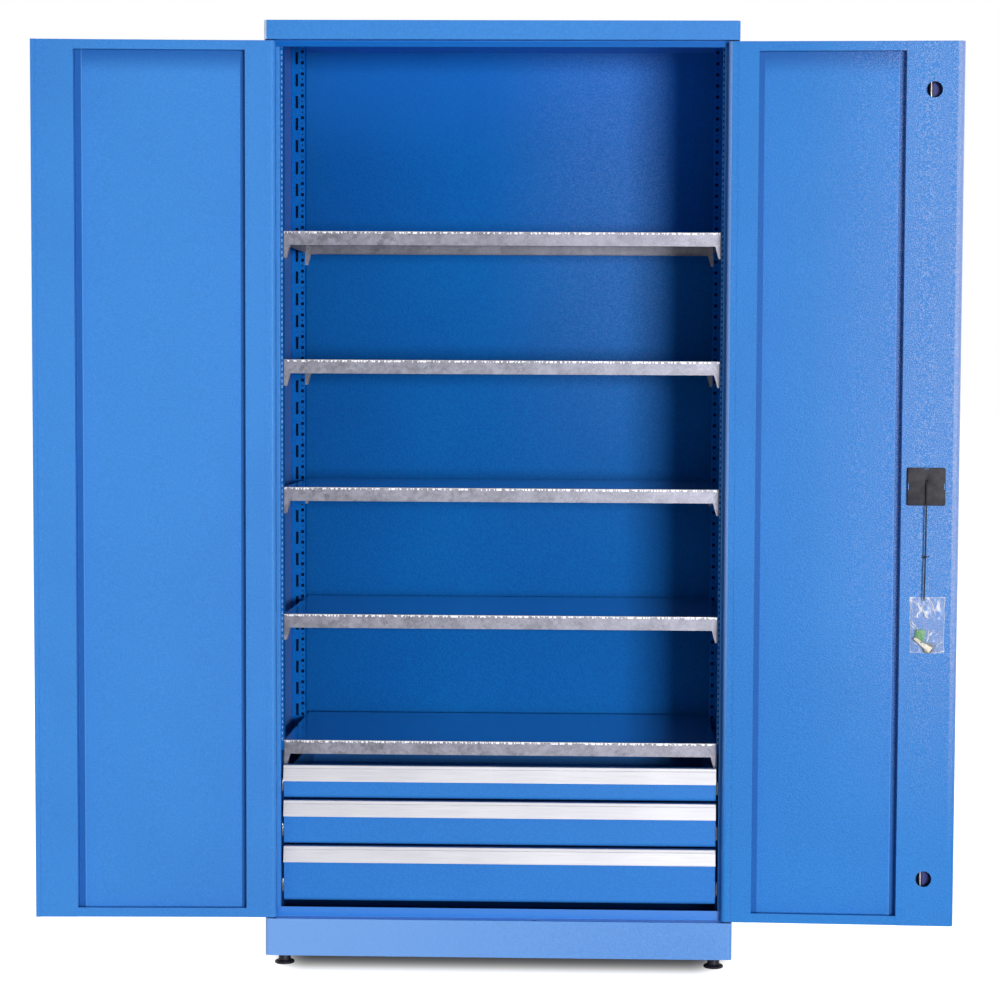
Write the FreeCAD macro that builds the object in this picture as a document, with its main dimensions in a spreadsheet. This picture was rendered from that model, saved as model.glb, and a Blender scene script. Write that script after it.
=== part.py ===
import FreeCAD, Part
import math
import os
import Sketcher

# Material storage cabinet: two hinged doors, five shelves on slotted posts, three drawers.
# Millimetres. X runs to the right as seen from the front, Y to the back, Z up from the floor.
# The origin lies on the floor under the middle of the carcass.
# The doors are drawn open, the drawers shut and the lock rods drawn in.

SIZES = {
    # carcass
    "width": 1006.0,
    "depth": 500.0,
    "carcass_height": 2000.0,
    "foot_height": 23.0,
    "frame_sheet": 1.5,
    "panel_sheet": 1.0,
    "corner_radius": 8.0,
    "cap_height": 40.0,
    "plinth_height": 80.0,
    "plinth_wing": 45.0,
    "plinth_return": 30.0,
    "stop_setback": 28.0,
    "top_lip": 12.0,
    "sill_lip": 20.0,
    "floor_flange": 15.0,
    "side_flange": 30.0,
    "side_return": 12.0,
    "rear_flange": 20.0,
    "back_return": 12.0,
    # slotted posts
    "post_inset": 34.0,
    "post_setback": 46.0,
    "rear_post_setback": 410.0,
    "post_leg": 30.0,
    "slot_width": 4.5,
    "slot_length": 28.0,
    "slot_pitch": 50.0,
    "slot_inset": 15.5,
    "hole_pitch": 25.0,
    "perforation_margin": 29.0,
    # shelves and their clips
    "shelf_sheet": 1.0,
    "shelf_play": 1.0,
    "shelf_setback": 55.0,
    "shelf_depth": 415.0,
    "shelf_lip": 30.0,
    "shelf_hem": 14.0,
    "hem_cutback": 21.0,
    "shelf_bend": 2.0,
    "lowest_shelf_rise": 379.0,
    "clip_sheet": 1.5,
    "clip_reach": 12.5,
    "clip_tip": 5.0,
    "clip_drop": 27.0,
    "clip_length": 18.0,
    "clip_gap": 2.0,
    # doors
    "door_sheet": 1.0,
    "door_thickness": 24.0,
    "door_gap": 3.0,
    "side_gap": 1.0,
    "meeting_gap": 3.0,
    "right_leaf": 482.0,
    "pivot_inset": 12.5,
    "pivot_setback": 12.0,
    "edge_radius": 9.0,
    "edge_return": 29.0,
    "hinge_stile_start": 21.0,
    "hinge_stile_end": 64.0,
    "stile_foot": 12.5,
    "rail_height": 20.0,
    "left_lock_stile": 81.0,
    "right_lock_stile": 121.0,
    "stop_lip": 9.0,
    "lip_joggle": 1.5,
    "lock_edge_radius": 10.0,
    "lock_edge_wall": 10.0,
    "left_opening": 178.0,
    "right_opening": 178.0,
    # hinge pins and bushes
    "pin_radius": 4.0,
    "pin_head": 16.0,
    "pin_head_height": 3.0,
    "pin_engagement": 16.0,
    "bush_width": 16.4,
    "bush_length": 18.0,
    "running_clearance": 0.05,
    "hole_clearance": 0.15,
    "door_hole_clearance": 0.5,
    # lock in the right door
    "lock_inset": 69.0,
    "lock_rise": 940.0,
    "access_radius": 17.0,
    "access_inset": 63.0,
    "access_margin": 101.0,
    "lock_window": 62.0,
    "cover_size": 80.0,
    "cover_height": 7.0,
    "cover_wall": 2.0,
    "cover_corner": 2.5,
    "cover_notch": 11.0,
    "cover_notch_depth": 1.5,
    "rod_radius": 4.0,
    "rod_travel": 18.0,
    "rod_proud": 0.5,
    "rod_hole": 10.0,
    "rod_stem": 40.0,
    "yoke_sheet": 3.0,
    "yoke_play": 0.6,
    "yoke_margin": 4.2,
    "cam_width": 16.0,
    "cam_length": 36.0,
    "cam_sheet": 4.0,
    "cam_gap": 1.5,
    "cam_pin_radius": 3.0,
    "cam_pin_length": 7.5,
    "spindle": 8.0,
    "spindle_end": 6.0,
    "spindle_hole": 13.0,
    "guide_width": 24.0,
    "guide_height": 15.0,
    "guide_depth": 18.0,
    "guide_spread": 120.0,
    "rod_play": 0.2,
    "plate_width": 46.0,
    "plate_height": 132.0,
    "plate_thickness": 5.0,
    "plate_corner": 8.0,
    "handle_gap": 0.3,
    "collar_radius": 10.0,
    "hub_radius": 17.0,
    "hub_height": 18.0,
    "lever_length": 108.0,
    "lever_width": 22.0,
    "lever_tip_width": 16.0,
    "lever_thickness": 10.0,
    "barrel_radius": 8.0,
    "barrel_depth": 13.0,
    "barrel_proud": 1.0,
    "keyway_width": 2.0,
    "keyway_length": 9.0,
    "keyway_depth": 6.0,
    # keys hung on the lock cover
    "cord_radius": 1.6,
    "cord_bend": 4.0,
    "cord_rise": 12.0,
    "cord_drop": 253.0,
    "cord_hole_radius": 1.9,
    "cord_in_bag": 8.0,
    "bag_width": 78.0,
    "bag_height": 123.0,
    "bag_depth": 15.0,
    "bag_film": 0.5,
    "bag_offset": 6.0,
    "seat_gap": 0.3,
    "tag_width": 26.0,
    "tag_height": 34.0,
    "tag_thickness": 2.5,
    "tag_rise": 26.0,
    "tag_offset": 11.0,
    "tag_corner": 3.0,
    "key_bow": 22.0,
    "key_bow_corner": 6.0,
    "key_blade_width": 7.0,
    "key_blade_length": 32.0,
    "key_thickness": 2.0,
    "key_eye": 5.0,
    # drawers
    "drawer_setback": 40.0,
    "drawers_rise": 30.0,
    "drawer_gap": 5.0,
    "upper_front": 72.0,
    "middle_front": 95.0,
    "lower_front": 120.0,
    "front_play": 1.5,
    "front_return": 14.0,
    "front_bend": 8.0,
    "front_top_bend": 2.0,
    "box_gap": 13.5,
    "box_depth": 405.0,
    "box_rise": 8.0,
    "box_drop": 12.0,
    "rail_sheet": 1.2,
    "rail_tall": 34.0,
    "rail_rise": 29.0,
    "rail_length": 400.0,
    "rail_start": 55.0,
    "rail_play": 0.4,
    "rail_arm": 9.0,
    "grip_height": 34.0,
    "grip_reach": 11.0,
    "grip_top": 4.0,
    "grip_wall": 2.2,
    "grip_back_wall": 2.0,
    "grip_back": 26.0,
    "grip_bead": 6.0,
    "grip_groove": 0.8,
    "grip_roof": 12.0,
    # levelling feet
    "foot_inset_x": 38.0,
    "foot_inset_y": 32.0,
    "pad_radius": 21.3,
    "pad_height": 8.0,
    "foot_hex_radius": 13.5,
    "foot_hex_top": 30.0,
    "stud_radius": 5.0,
    "stud_top": 85.0,
    "foot_plate": 70.0,
    "foot_plate_sheet": 3.0,
    "foot_plate_rise": 45.0,
    "weld_nut": 20.0,
    "weld_nut_height": 12.0,
}
SHELF_COUNT = 5
HOLES_PER_SHELF_STEP = 11
PAD_FLATS = 20
CORD_FLATS = 8

doc = FreeCAD.newDocument("cabinet")
sheet = doc.addObject("Spreadsheet::Sheet", "Sizes")


class Size:
    """A length driven by the sheet: its value now and the expression that keeps it live."""

    def __init__(self, value, text):
        self.value = value
        self.text = text

    @staticmethod
    def of(number):
        return number if isinstance(number, Size) else Size(float(number), repr(float(number)))

    def joined(self, sign, other, value):
        return Size(value, "(%s %s %s)" % (self.text, sign, other.text))

    def __add__(self, number):
        other = Size.of(number)
        return self.joined("+", other, self.value + other.value)

    def __sub__(self, number):
        other = Size.of(number)
        return self.joined("-", other, self.value - other.value)

    def __mul__(self, number):
        other = Size.of(number)
        return self.joined("*", other, self.value * other.value)

    def __truediv__(self, number):
        other = Size.of(number)
        return self.joined("/", other, self.value / other.value)

    def __radd__(self, number):
        return Size.of(number) + self

    def __rsub__(self, number):
        return Size.of(number) - self

    def __rmul__(self, number):
        return Size.of(number) * self

    def __neg__(self):
        return Size.of(0) - self


class Sizes:
    """Every named size of the sheet as an attribute."""

    def __init__(self, table):
        for row, (alias, value) in enumerate(table.items(), 1):
            sheet.set("A%d" % row, alias)
            sheet.set("B%d" % row, repr(value))
            sheet.setAlias("B%d" % row, alias)
        sheet.recompute()
        for alias in table:
            setattr(self, alias, Size(float(sheet.get(alias)), "Sizes." + alias))


s = Sizes(SIZES)
nodes = []


def bind(thing, path, size):
    """Ties a property of a document object to the sheet."""
    thing.setExpression(path, Size.of(size).text)


def span(low, high):
    """Two ends in rising order."""
    low, high = Size.of(low), Size.of(high)
    return (low, high) if low.value <= high.value else (high, low)


def both(half_size):
    """A span that reaches the same way to both sides of the middle plane."""
    return (-half_size, half_size)


def keep(thing, name, placement=None):
    """Names a finished sub-part, puts it in its place and lists it for export."""
    thing.Label = name
    if placement:
        thing.Placement = placement
    nodes.append(thing)
    return thing


def block(name, x, y, z):
    """A plain block between two ends on each axis."""
    box = doc.addObject("Part::Box", name)
    for axis, side, ends in zip("xyz", ("Length", "Width", "Height"), (x, y, z)):
        low, high = span(*ends)
        bind(box, "Placement.Base." + axis, low)
        bind(box, side, high - low)
    return box


def round_bar(name, axis, x, y, z, radius, length):
    """A cylinder that starts at a point and runs along Y or Z."""
    bar = doc.addObject("Part::Cylinder", name)
    if axis == "Y":
        bar.Placement = FreeCAD.Placement(FreeCAD.Vector(), FreeCAD.Rotation(FreeCAD.Vector(1, 0, 0), -90))
    for letter, size in zip("xyz", (x, y, z)):
        bind(bar, "Placement.Base." + letter, size)
    bind(bar, "Radius", radius)
    bind(bar, "Height", length)
    return bar


def flatted_bar(name, flats, x, y, z, radius, length):
    """An upright bar with a regular number of flats."""
    bar = doc.addObject("Part::Prism", name)
    bar.Polygon = flats
    for path, size in (("Circumradius", radius), ("Height", length), ("Placement.Base.x", x),
                       ("Placement.Base.y", y), ("Placement.Base.z", z)):
        bind(bar, path, size)
    return bar


def fuse(name, parts):
    """One solid out of several."""
    whole = doc.addObject("Part::MultiFuse", name)
    whole.Shapes = parts
    whole.Refine = True
    return whole


def group(name, parts):
    """Several separate solids under one name."""
    bundle = doc.addObject("Part::Compound", name)
    bundle.Links = parts
    return bundle


def cut(name, base, tools):
    """A solid with other shapes taken out of it."""
    result = doc.addObject("Part::Cut", name)
    result.Base = base
    result.Tool = tools[0] if len(tools) == 1 else group(name + "_tools", tools)
    result.Refine = True
    return result


def corner_points(lines):
    """The corners of a closed outline of upright and level lines in turn, first an upright one."""
    count = len(lines)
    corners = []
    for k in range(count):
        here, following = lines[k], lines[(k + 1) % count]
        corners.append((here, following) if k % 2 == 0 else (following, here))
    return corners


def draw_square_loop(sketch, lines, rounds):
    """Draws upright and level lines in turn, with the listed corners rounded."""
    count = len(lines)
    corners = [FreeCAD.Vector(x.value, y.value, 0) for x, y in corner_points(lines)]
    heads = [(corners[k] - corners[k - 1]).normalize() for k in range(count)]
    radius = {k: Size.of(r) for k, r in rounds.items()}
    trim = [radius[k].value if k in radius else 0.0 for k in range(count)]
    first = sketch.GeometryCount
    segments = []
    for k in range(count):
        begin = corners[k - 1] + heads[k] * trim[k - 1]
        end = corners[k] - heads[k] * trim[k]
        segments.append(Part.LineSegment(begin, end))
    sketch.addGeometry(segments, False)
    rules = []
    sizes = []
    for k in range(count):
        upright = k % 2 == 0
        rules.append(Sketcher.Constraint("Vertical" if upright else "Horizontal", first + k))
        kind = "DistanceX" if upright else "DistanceY"
        rules.append(Sketcher.Constraint(kind, -1, 1, first + k, 1, lines[k].value))
        sizes.append((len(rules) - 1, lines[k]))
    for k in range(count):
        following = first + (k + 1) % count
        if k not in radius:
            rules.append(Sketcher.Constraint("Coincident", first + k, 2, following, 1))
            continue
        head, tail, r = heads[k], heads[(k + 1) % count], radius[k].value
        centre = corners[k] - head * r + tail * r
        start, stop = corners[k] - head * r, corners[k] + tail * r
        turns_left = head.x * tail.y - head.y * tail.x > 0
        begin, end = (start, stop) if turns_left else (stop, start)
        angles = [math.atan2(p.y - centre.y, p.x - centre.x) for p in (begin, end)]
        circle = Part.Circle(centre, FreeCAD.Vector(0, 0, 1), r)
        arc = sketch.addGeometry(Part.ArcOfCircle(circle, angles[0], angles[1]), False)
        enters, leaves = (1, 2) if turns_left else (2, 1)
        rules.append(Sketcher.Constraint("Tangent", first + k, 2, arc, enters))
        rules.append(Sketcher.Constraint("Tangent", arc, leaves, following, 1))
        rules.append(Sketcher.Constraint("Radius", arc, r))
        sizes.append((len(rules) - 1, radius[k]))
    before = sketch.ConstraintCount
    sketch.addConstraint(rules)
    for index, size in sizes:
        sketch.setExpression("Constraints[%d]" % (before + index), size.text)


def draw_points_loop(sketch, points):
    """Draws a closed outline through points, each one tied to the sheet."""
    points = [(Size.of(x), Size.of(y)) for x, y in points]
    vectors = [FreeCAD.Vector(x.value, y.value, 0) for x, y in points]
    count = len(vectors)
    first = sketch.GeometryCount
    sketch.addGeometry([Part.LineSegment(vectors[k], vectors[(k + 1) % count]) for k in range(count)], False)
    rules = [Sketcher.Constraint("Coincident", first + k, 2, first + (k + 1) % count, 1)
             for k in range(count)]
    sizes = []
    for k in range(count):
        for kind, size in zip(("DistanceX", "DistanceY"), points[k]):
            rules.append(Sketcher.Constraint(kind, -1, 1, first + k, 1, size.value))
            sizes.append((len(rules) - 1, size))
    before = sketch.ConstraintCount
    sketch.addConstraint(rules)
    for index, size in sizes:
        sketch.setExpression("Constraints[%d]" % (before + index), size.text)


def new_sketch(body, plane, offset):
    """A sketch on one of the body's own planes, moved along that plane's normal."""
    sketch = body.newObject("Sketcher::SketchObject", body.Name + "_sketch")
    support = [f for f in body.Origin.OriginFeatures if f.Role == plane + "_Plane"]
    sketch.AttachmentSupport = [(support[0], "")]
    sketch.MapMode = "FlatFace"
    bind(sketch, "AttachmentOffset.Base.z", offset)
    return sketch


def extruded(name, plane, ends, draw):
    """A body padded between two ends along the normal of its sketch plane."""
    body = doc.addObject("PartDesign::Body", name)
    low, high = span(*ends)
    sketch = new_sketch(body, plane, -high if plane == "XZ" else low)
    draw(sketch)
    pad = body.newObject("PartDesign::Pad", name + "_pad")
    pad.Profile = sketch
    bind(pad, "Length", high - low)
    return body


def folded(name, plane, ends, lines, rounds=None):
    """A bent sheet or bar: a square outline with rounded bends, extruded."""
    sizes = [Size.of(line) for line in lines]
    return extruded(name, plane, ends, lambda sketch: draw_square_loop(sketch, sizes, rounds or {}))


def shaped(name, plane, ends, points):
    """An outline through points, extruded."""
    return extruded(name, plane, ends, lambda sketch: draw_points_loop(sketch, points))


def clipped_plate(name, middle, half_width, low, high, corner, y_ends):
    """A flat plate whose four corners are cut off."""
    left, right = middle - half_width, middle + half_width
    return shaped(name, "XZ", y_ends, [
        (left + corner, low), (right - corner, low), (right, low + corner), (right, high - corner),
        (right - corner, high), (left + corner, high), (left, high - corner), (left, low + corner)])


# Levels and planes that several pieces share
half = s.width / 2
front = -s.depth / 2
back = s.depth / 2
base_z = s.foot_height
plinth_top = base_z + s.plinth_height
roof_z = base_z + s.carcass_height
cap_z = roof_z - s.cap_height
stop_y = front + s.stop_setback
frame_y = stop_y + s.frame_sheet
floor_z = plinth_top + s.panel_sheet
under_roof = roof_z - s.frame_sheet
inside_x = half - s.frame_sheet
wall_x = inside_x - s.panel_sheet
post_x = half - s.post_inset
pivot_x = half - s.pivot_inset
pivot_y = front + s.pivot_setback
door_bottom = plinth_top + s.door_gap
door_top = cap_z - s.door_gap

# The right door's lock, seen in the door's own frame: u runs from the hinge to the free edge
left_leaf = 2 * pivot_x - s.meeting_gap - s.right_leaf
lock_u = s.right_leaf - s.lock_inset
lock_z = door_bottom + s.lock_rise
rod_x = pivot_x - lock_u

Z_AXIS = FreeCAD.Vector(0, 0, 1)
LEFT_DOOR = FreeCAD.Placement(
    FreeCAD.Vector(-pivot_x.value, pivot_y.value, 0), FreeCAD.Rotation(Z_AXIS, -s.left_opening.value)
)
RIGHT_DOOR = FreeCAD.Placement(
    FreeCAD.Vector(pivot_x.value, pivot_y.value, 0), FreeCAD.Rotation(Z_AXIS, s.right_opening.value)
)


def square_hole(name, x, y, width, z_ends):
    """An upright square tool centred on a point of the plan."""
    return block(name, (x - width / 2, x + width / 2), (y - width / 2, y + width / 2), z_ends)


def hinge_holes(name, z, height):
    """Holes for both hinge pins and the lock rod through a level flange."""
    radius = s.pin_radius + s.hole_clearance
    tools = [round_bar("%s_pin_%d" % (name, k), "Z", side * pivot_x, pivot_y, z, radius, height)
             for k, side in enumerate((-1, 1))]
    tools.append(square_hole(name + "_rod", rod_x, pivot_y, s.rod_hole, (z, z + height)))
    return tools


def front_ledge(name, low, lip):
    """The level flange behind a front band, rounded like it, and the lip that stops the doors."""
    high = low + s.frame_sheet
    ledge = folded(name + "_ledge", "XY", (low, high), [-half, front, half, frame_y],
                   {0: s.corner_radius, 1: s.corner_radius})
    return [ledge, block(name + "_lip", both(inside_x), (stop_y, frame_y), lip)]


def roof_cap():
    """A shallow pan over the carcass whose front turns in and down as the upper door stop."""
    outer = [-half, front, half, back]
    inner = [-inside_x, front + s.frame_sheet, inside_x, back - s.frame_sheet]
    inner_radius = s.corner_radius - s.frame_sheet
    rounded = {0: s.corner_radius, 1: s.corner_radius}

    def ring(sketch):
        draw_square_loop(sketch, outer, rounded)
        draw_square_loop(sketch, inner, {0: inner_radius, 1: inner_radius})

    plate = folded("roof_plate", "XY", (under_roof, roof_z), outer, rounded)
    band = extruded("roof_band", "XY", (cap_z, roof_z), ring)
    ledge = front_ledge("roof", cap_z, (cap_z - s.top_lip, cap_z + s.frame_sheet))
    pan = fuse("roof_pan", [plate, band] + ledge)
    keep(cut("roof_drilled", pan, hinge_holes("roof_hole", cap_z - 1, s.frame_sheet + 2)), "roof_cap")


def plinth():
    """The front skirt with its sill, and the side and rear rails that close the base."""
    skirt = folded("skirt_band", "XY", (base_z, plinth_top),
                   [-half, front, half, front + s.plinth_wing,
                    inside_x, front + s.frame_sheet, -inside_x, front + s.plinth_wing],
                   {0: s.corner_radius, 1: s.corner_radius,
                    4: s.corner_radius - s.frame_sheet, 5: s.corner_radius - s.frame_sheet})
    ledge_z = plinth_top - s.frame_sheet
    ledge = front_ledge("skirt", ledge_z, (ledge_z, plinth_top + s.sill_lip))
    holes = hinge_holes("skirt_hole", ledge_z - 1, s.frame_sheet + 2)
    keep(cut("skirt_drilled", fuse("skirt", [skirt] + ledge), holes), "plinth_front")

    rails = []
    for side, word in ((-1, "left"), (1, "right")):
        run = (front + s.plinth_wing, back - s.frame_sheet)
        band = block("plinth_%s_band" % word, (side * half, side * inside_x), run, (base_z, plinth_top))
        flange = block("plinth_%s_flange" % word, (side * half, side * (half - s.plinth_return)), run,
                       (ledge_z, plinth_top))
        rails.append(fuse("plinth_%s_rail" % word, [band, flange]))
    rear_band = block("plinth_rear_band", both(half), (back - s.frame_sheet, back), (base_z, plinth_top))
    rear_flange = block("plinth_rear_flange", both(half - s.plinth_return), (back - s.plinth_return, back),
                        (ledge_z, plinth_top))
    rails.append(fuse("plinth_rear_rail", [rear_band, rear_flange]))
    keep(group("plinth_rail_set", rails), "plinth_rails")


def panels():
    """Floor, sides and back: bent sheets that stand inside the cap and on the plinth."""
    rear_y = back - s.frame_sheet
    flange_z = plinth_top - s.floor_flange
    lines = [frame_y, floor_z, rear_y, plinth_top, frame_y + s.panel_sheet, flange_z]
    keep(folded("floor_sheet", "YZ", both(inside_x), lines, {0: s.panel_sheet}), "floor_panel")

    bend = s.frame_sheet
    for side, word in ((-1, "left"), (1, "right")):
        inner = half - s.side_flange
        lines = [side * inside_x, rear_y, side * (inside_x - s.rear_flange), rear_y - s.panel_sheet,
                 side * wall_x, frame_y + s.panel_sheet, side * (inner + s.panel_sheet),
                 frame_y + s.side_return, side * inner, frame_y]
        keep(folded(word + "_side_sheet", "XY", (floor_z, under_roof), lines, {0: bend, 8: bend, 9: bend}),
             word + "_side_panel")

    back_y = rear_y - s.panel_sheet
    lines = [-wall_x, back_y, wall_x, back_y - s.back_return, wall_x - s.panel_sheet, back_y - s.panel_sheet,
             -wall_x + s.panel_sheet, back_y - s.back_return]
    keep(folded("back_sheet", "XY", (floor_z, under_roof), lines, {0: bend, 1: bend}), "back_panel")


def row_of_pockets(body, name, plane, offset, outline, pitch, count, depth):
    """Cuts an opening through a post's face and repeats it upwards."""
    sketch = new_sketch(body, plane, offset)
    draw_square_loop(sketch, [Size.of(line) for line in outline], {})
    pocket = body.newObject("PartDesign::Pocket", name + "_pocket")
    pocket.Profile = sketch
    pocket.Midplane = True
    bind(pocket, "Length", depth)
    row = body.newObject("PartDesign::LinearPattern", name + "_row")
    row.Originals = [pocket]
    upward = [f for f in body.Origin.OriginFeatures if f.Role == "Z_Axis"]
    row.Direction = (upward[0], [""])
    row.Occurrences = count
    bind(row, "Length", pitch * (count - 1))
    body.Tip = row


def posts():
    """Four channel posts: plain ones behind the side flanges, the rear pair with a row of slots."""
    first_z = floor_z + s.perforation_margin
    reach = under_roof - s.perforation_margin - first_z
    slot_count = int((reach - s.slot_length).value / s.slot_pitch.value) + 1
    bend = s.frame_sheet
    for place, setback in (("front", s.post_setback), ("rear", s.rear_post_setback)):
        face_y = front + setback
        for side, word in ((-1, "left"), (1, "right")):
            name = "%s_%s_post" % (place, word)
            lines = [side * wall_x, face_y, side * post_x, face_y + s.post_leg,
                     side * (post_x + s.frame_sheet), face_y + s.frame_sheet,
                     side * (wall_x - s.frame_sheet), face_y + s.post_leg]
            rounds = {0: bend, 1: bend} if place == "rear" else {}
            body = folded(name + "_body", "XY", (floor_z, under_roof), lines, rounds)
            keep(body, name)
            if place == "front":
                continue
            slot_x = side * (half - s.slot_inset)
            row_of_pockets(body, name + "_slots", "XZ", -face_y,
                           [slot_x - s.slot_width / 2, first_z, slot_x + s.slot_width / 2,
                            first_z + s.slot_length],
                           s.slot_pitch, slot_count, 4 * s.frame_sheet)


shelf_tops = [floor_z + s.lowest_shelf_rise + s.hole_pitch * HOLES_PER_SHELF_STEP * k
              for k in reversed(range(SHELF_COUNT))]
shelf_x = post_x - s.shelf_play
shelf_y = front + s.shelf_setback
front_clip_y = shelf_y + s.clip_gap
rear_clip_y = front + s.rear_post_setback + s.clip_gap


def shelves():
    """Galvanised trays with deep lips front and rear, hemmed between the clips."""
    rear = shelf_y + s.shelf_depth
    for number, top in enumerate(shelf_tops, 1):
        name = "shelf_%d" % number
        under = top - s.shelf_sheet
        foot = top - s.shelf_lip
        lines = [shelf_y, top, rear, foot, rear - s.shelf_sheet, under, shelf_y + s.shelf_sheet, foot]
        tray = folded(name + "_tray", "YZ", both(shelf_x), lines, {0: s.shelf_bend, 1: s.shelf_bend})
        hem_x = shelf_x - s.hem_cutback
        hem_z = (foot, foot + s.shelf_sheet)
        hems = [block(name + "_front_hem", both(hem_x), (shelf_y, shelf_y + s.shelf_hem), hem_z),
                block(name + "_rear_hem", both(hem_x), (rear - s.shelf_hem, rear), hem_z)]
        ends = [block("%s_end_%d" % (name, side), (side * shelf_x, side * (shelf_x - s.shelf_sheet)),
                      (front_clip_y + s.clip_length + s.clip_gap, rear_clip_y - s.clip_gap),
                      (foot, top - s.shelf_sheet / 2))
                for side in (-1, 1)]
        keep(fuse(name + "_whole", [tray] + hems + ends), name)


def shelf_clips():
    """Tapered clips that hook on the posts' inner legs, four to a shelf."""
    top = shelf_tops[0] - s.shelf_sheet
    lip = shelf_tops[0] - s.shelf_lip
    tip = lip - s.clip_drop
    copies = []
    for side, word in ((-1, "left"), (1, "right")):
        reach = [(side * (post_x - x), z) for x, z in (
            (Size.of(0), top), (s.clip_reach, top), (s.clip_reach, lip), (s.clip_tip, tip),
            (Size.of(0), tip))]
        wedge = shaped("clip_%s_wedge" % word, "XZ", (front_clip_y, front_clip_y + s.clip_length), reach)
        inside = block("clip_%s_inside" % word,
                       (side * (post_x - s.clip_sheet), side * (post_x - s.clip_reach - 1)),
                       (front_clip_y + s.clip_sheet, front_clip_y + s.clip_length - s.clip_sheet),
                       (tip - 1, top + 1))
        master = cut("clip_%s" % word, wedge, [inside])
        doc.recompute()
        for level in shelf_tops:
            for y in (front_clip_y, rear_clip_y):
                move = FreeCAD.Vector(0, (y - front_clip_y).value, (level - shelf_tops[0]).value)
                copies.append(master.Shape.translated(move))
    clips = doc.addObject("Part::Feature", "clip_set")
    clips.Shape = Part.makeCompound(copies)
    keep(clips, "shelf_clips")


# Depths in a door's own frame: y runs from the outer face to the inner one, through the hinge axis
outer_y = -s.pivot_setback
inner_y = outer_y + s.door_thickness
lining_y = outer_y + s.door_sheet
face_y = inner_y + s.door_sheet
hinge_edge = s.side_gap - s.pivot_inset


def door_skin(name, hand, leaf, free_wall, free_corner, holes, placement):
    """The outer pan of a door: rolled hinge edge, rails at top and bottom, a wall at the free edge."""
    sheet_in = s.door_sheet
    roll = s.edge_radius
    inner_roll = roll - sheet_in
    lines = [leaf, outer_y, hinge_edge, inner_y, hinge_edge + s.edge_return, inner_y - sheet_in,
             hinge_edge + sheet_in, lining_y, leaf - sheet_in, free_wall]
    lines = [hand * line if k % 2 == 0 else line for k, line in enumerate(lines)]
    rounds = {0: 2 * sheet_in, 1: roll, 2: roll, 5: inner_roll, 6: inner_roll, 7: sheet_in}
    pieces = [folded(name + "_shell", "XY", (door_bottom, door_top), lines, rounds)]
    plate = [hand * hinge_edge, outer_y, hand * leaf, inner_y]
    plate_rounds = {0: roll, 3: roll, 1: 2 * sheet_in}
    if free_corner:
        plate_rounds[2] = free_corner
    rail_x = (hand * (hinge_edge + roll), hand * (leaf - s.lock_edge_radius))
    for word, low, inward in (("bottom", door_bottom, 1), ("top", door_top, -1)):
        edge = span(low, low + inward * sheet_in)
        pieces.append(folded("%s_%s" % (name, word), "XY", edge, plate, plate_rounds))
        pieces.append(block("%s_%s_rail" % (name, word), rail_x, (inner_y - sheet_in, inner_y),
                            (low, low + inward * s.rail_height)))
    pin_hole = s.pin_radius + s.door_hole_clearance
    tools = [round_bar("%s_pin_hole_%d" % (name, k), "Z", 0, 0, z - 2 * sheet_in, pin_hole, 4 * sheet_in)
             for k, z in enumerate((door_bottom, door_top))]
    keep(cut(name + "_drilled", fuse(name + "_pan", pieces), tools + holes), name, placement)


def stile_web(name, hand, wall, foot, z_ends):
    """The bent leg of a stile: its wall across the door and its foot along the skin."""
    sheet_in = s.door_sheet
    away = 1 if foot.value > wall.value else -1
    lines = [wall, lining_y, foot, lining_y + sheet_in, wall + away * sheet_in, inner_y + sheet_in / 2]
    lines = [hand * line if k % 2 == 0 else line for k, line in enumerate(lines)]
    return folded(name, "XY", z_ends, lines, {0: 2 * sheet_in, 3: sheet_in})


def hinge_stile(name, hand, placement):
    """The stiffener beside a door's hinge edge, lapped over the skin's return."""
    begin, end = hinge_edge + s.hinge_stile_start, hinge_edge + s.hinge_stile_end
    plate = block(name + "_face", (hand * begin, hand * end), (inner_y, face_y), (door_bottom, door_top))
    inside = (door_bottom + s.rail_height + s.seat_gap, door_top - s.rail_height - s.seat_gap)
    web = stile_web(name + "_web", hand, end - s.door_sheet, end + s.stile_foot, inside)
    keep(fuse(name + "_whole", [plate, web]), name, placement)


def left_lock_stile():
    """The left door's free stile, whose joggled lip goes behind the right door."""
    begin = left_leaf - s.left_lock_stile
    lip_y = inner_y + s.lip_joggle
    lines = [begin, inner_y, left_leaf, lip_y, left_leaf + s.stop_lip, lip_y + s.door_sheet,
             left_leaf - s.door_sheet, face_y]
    plate = folded("left_lock_face", "XY", (door_bottom, door_top), lines)
    inside = (door_bottom + s.rail_height + s.seat_gap, door_top - s.rail_height - s.seat_gap)
    web = stile_web("left_lock_web", 1, begin + s.door_sheet, begin - s.stile_foot, inside)
    keep(fuse("left_lock_whole", [plate, web]), "left_door_lock_stile", LEFT_DOOR)


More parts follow.
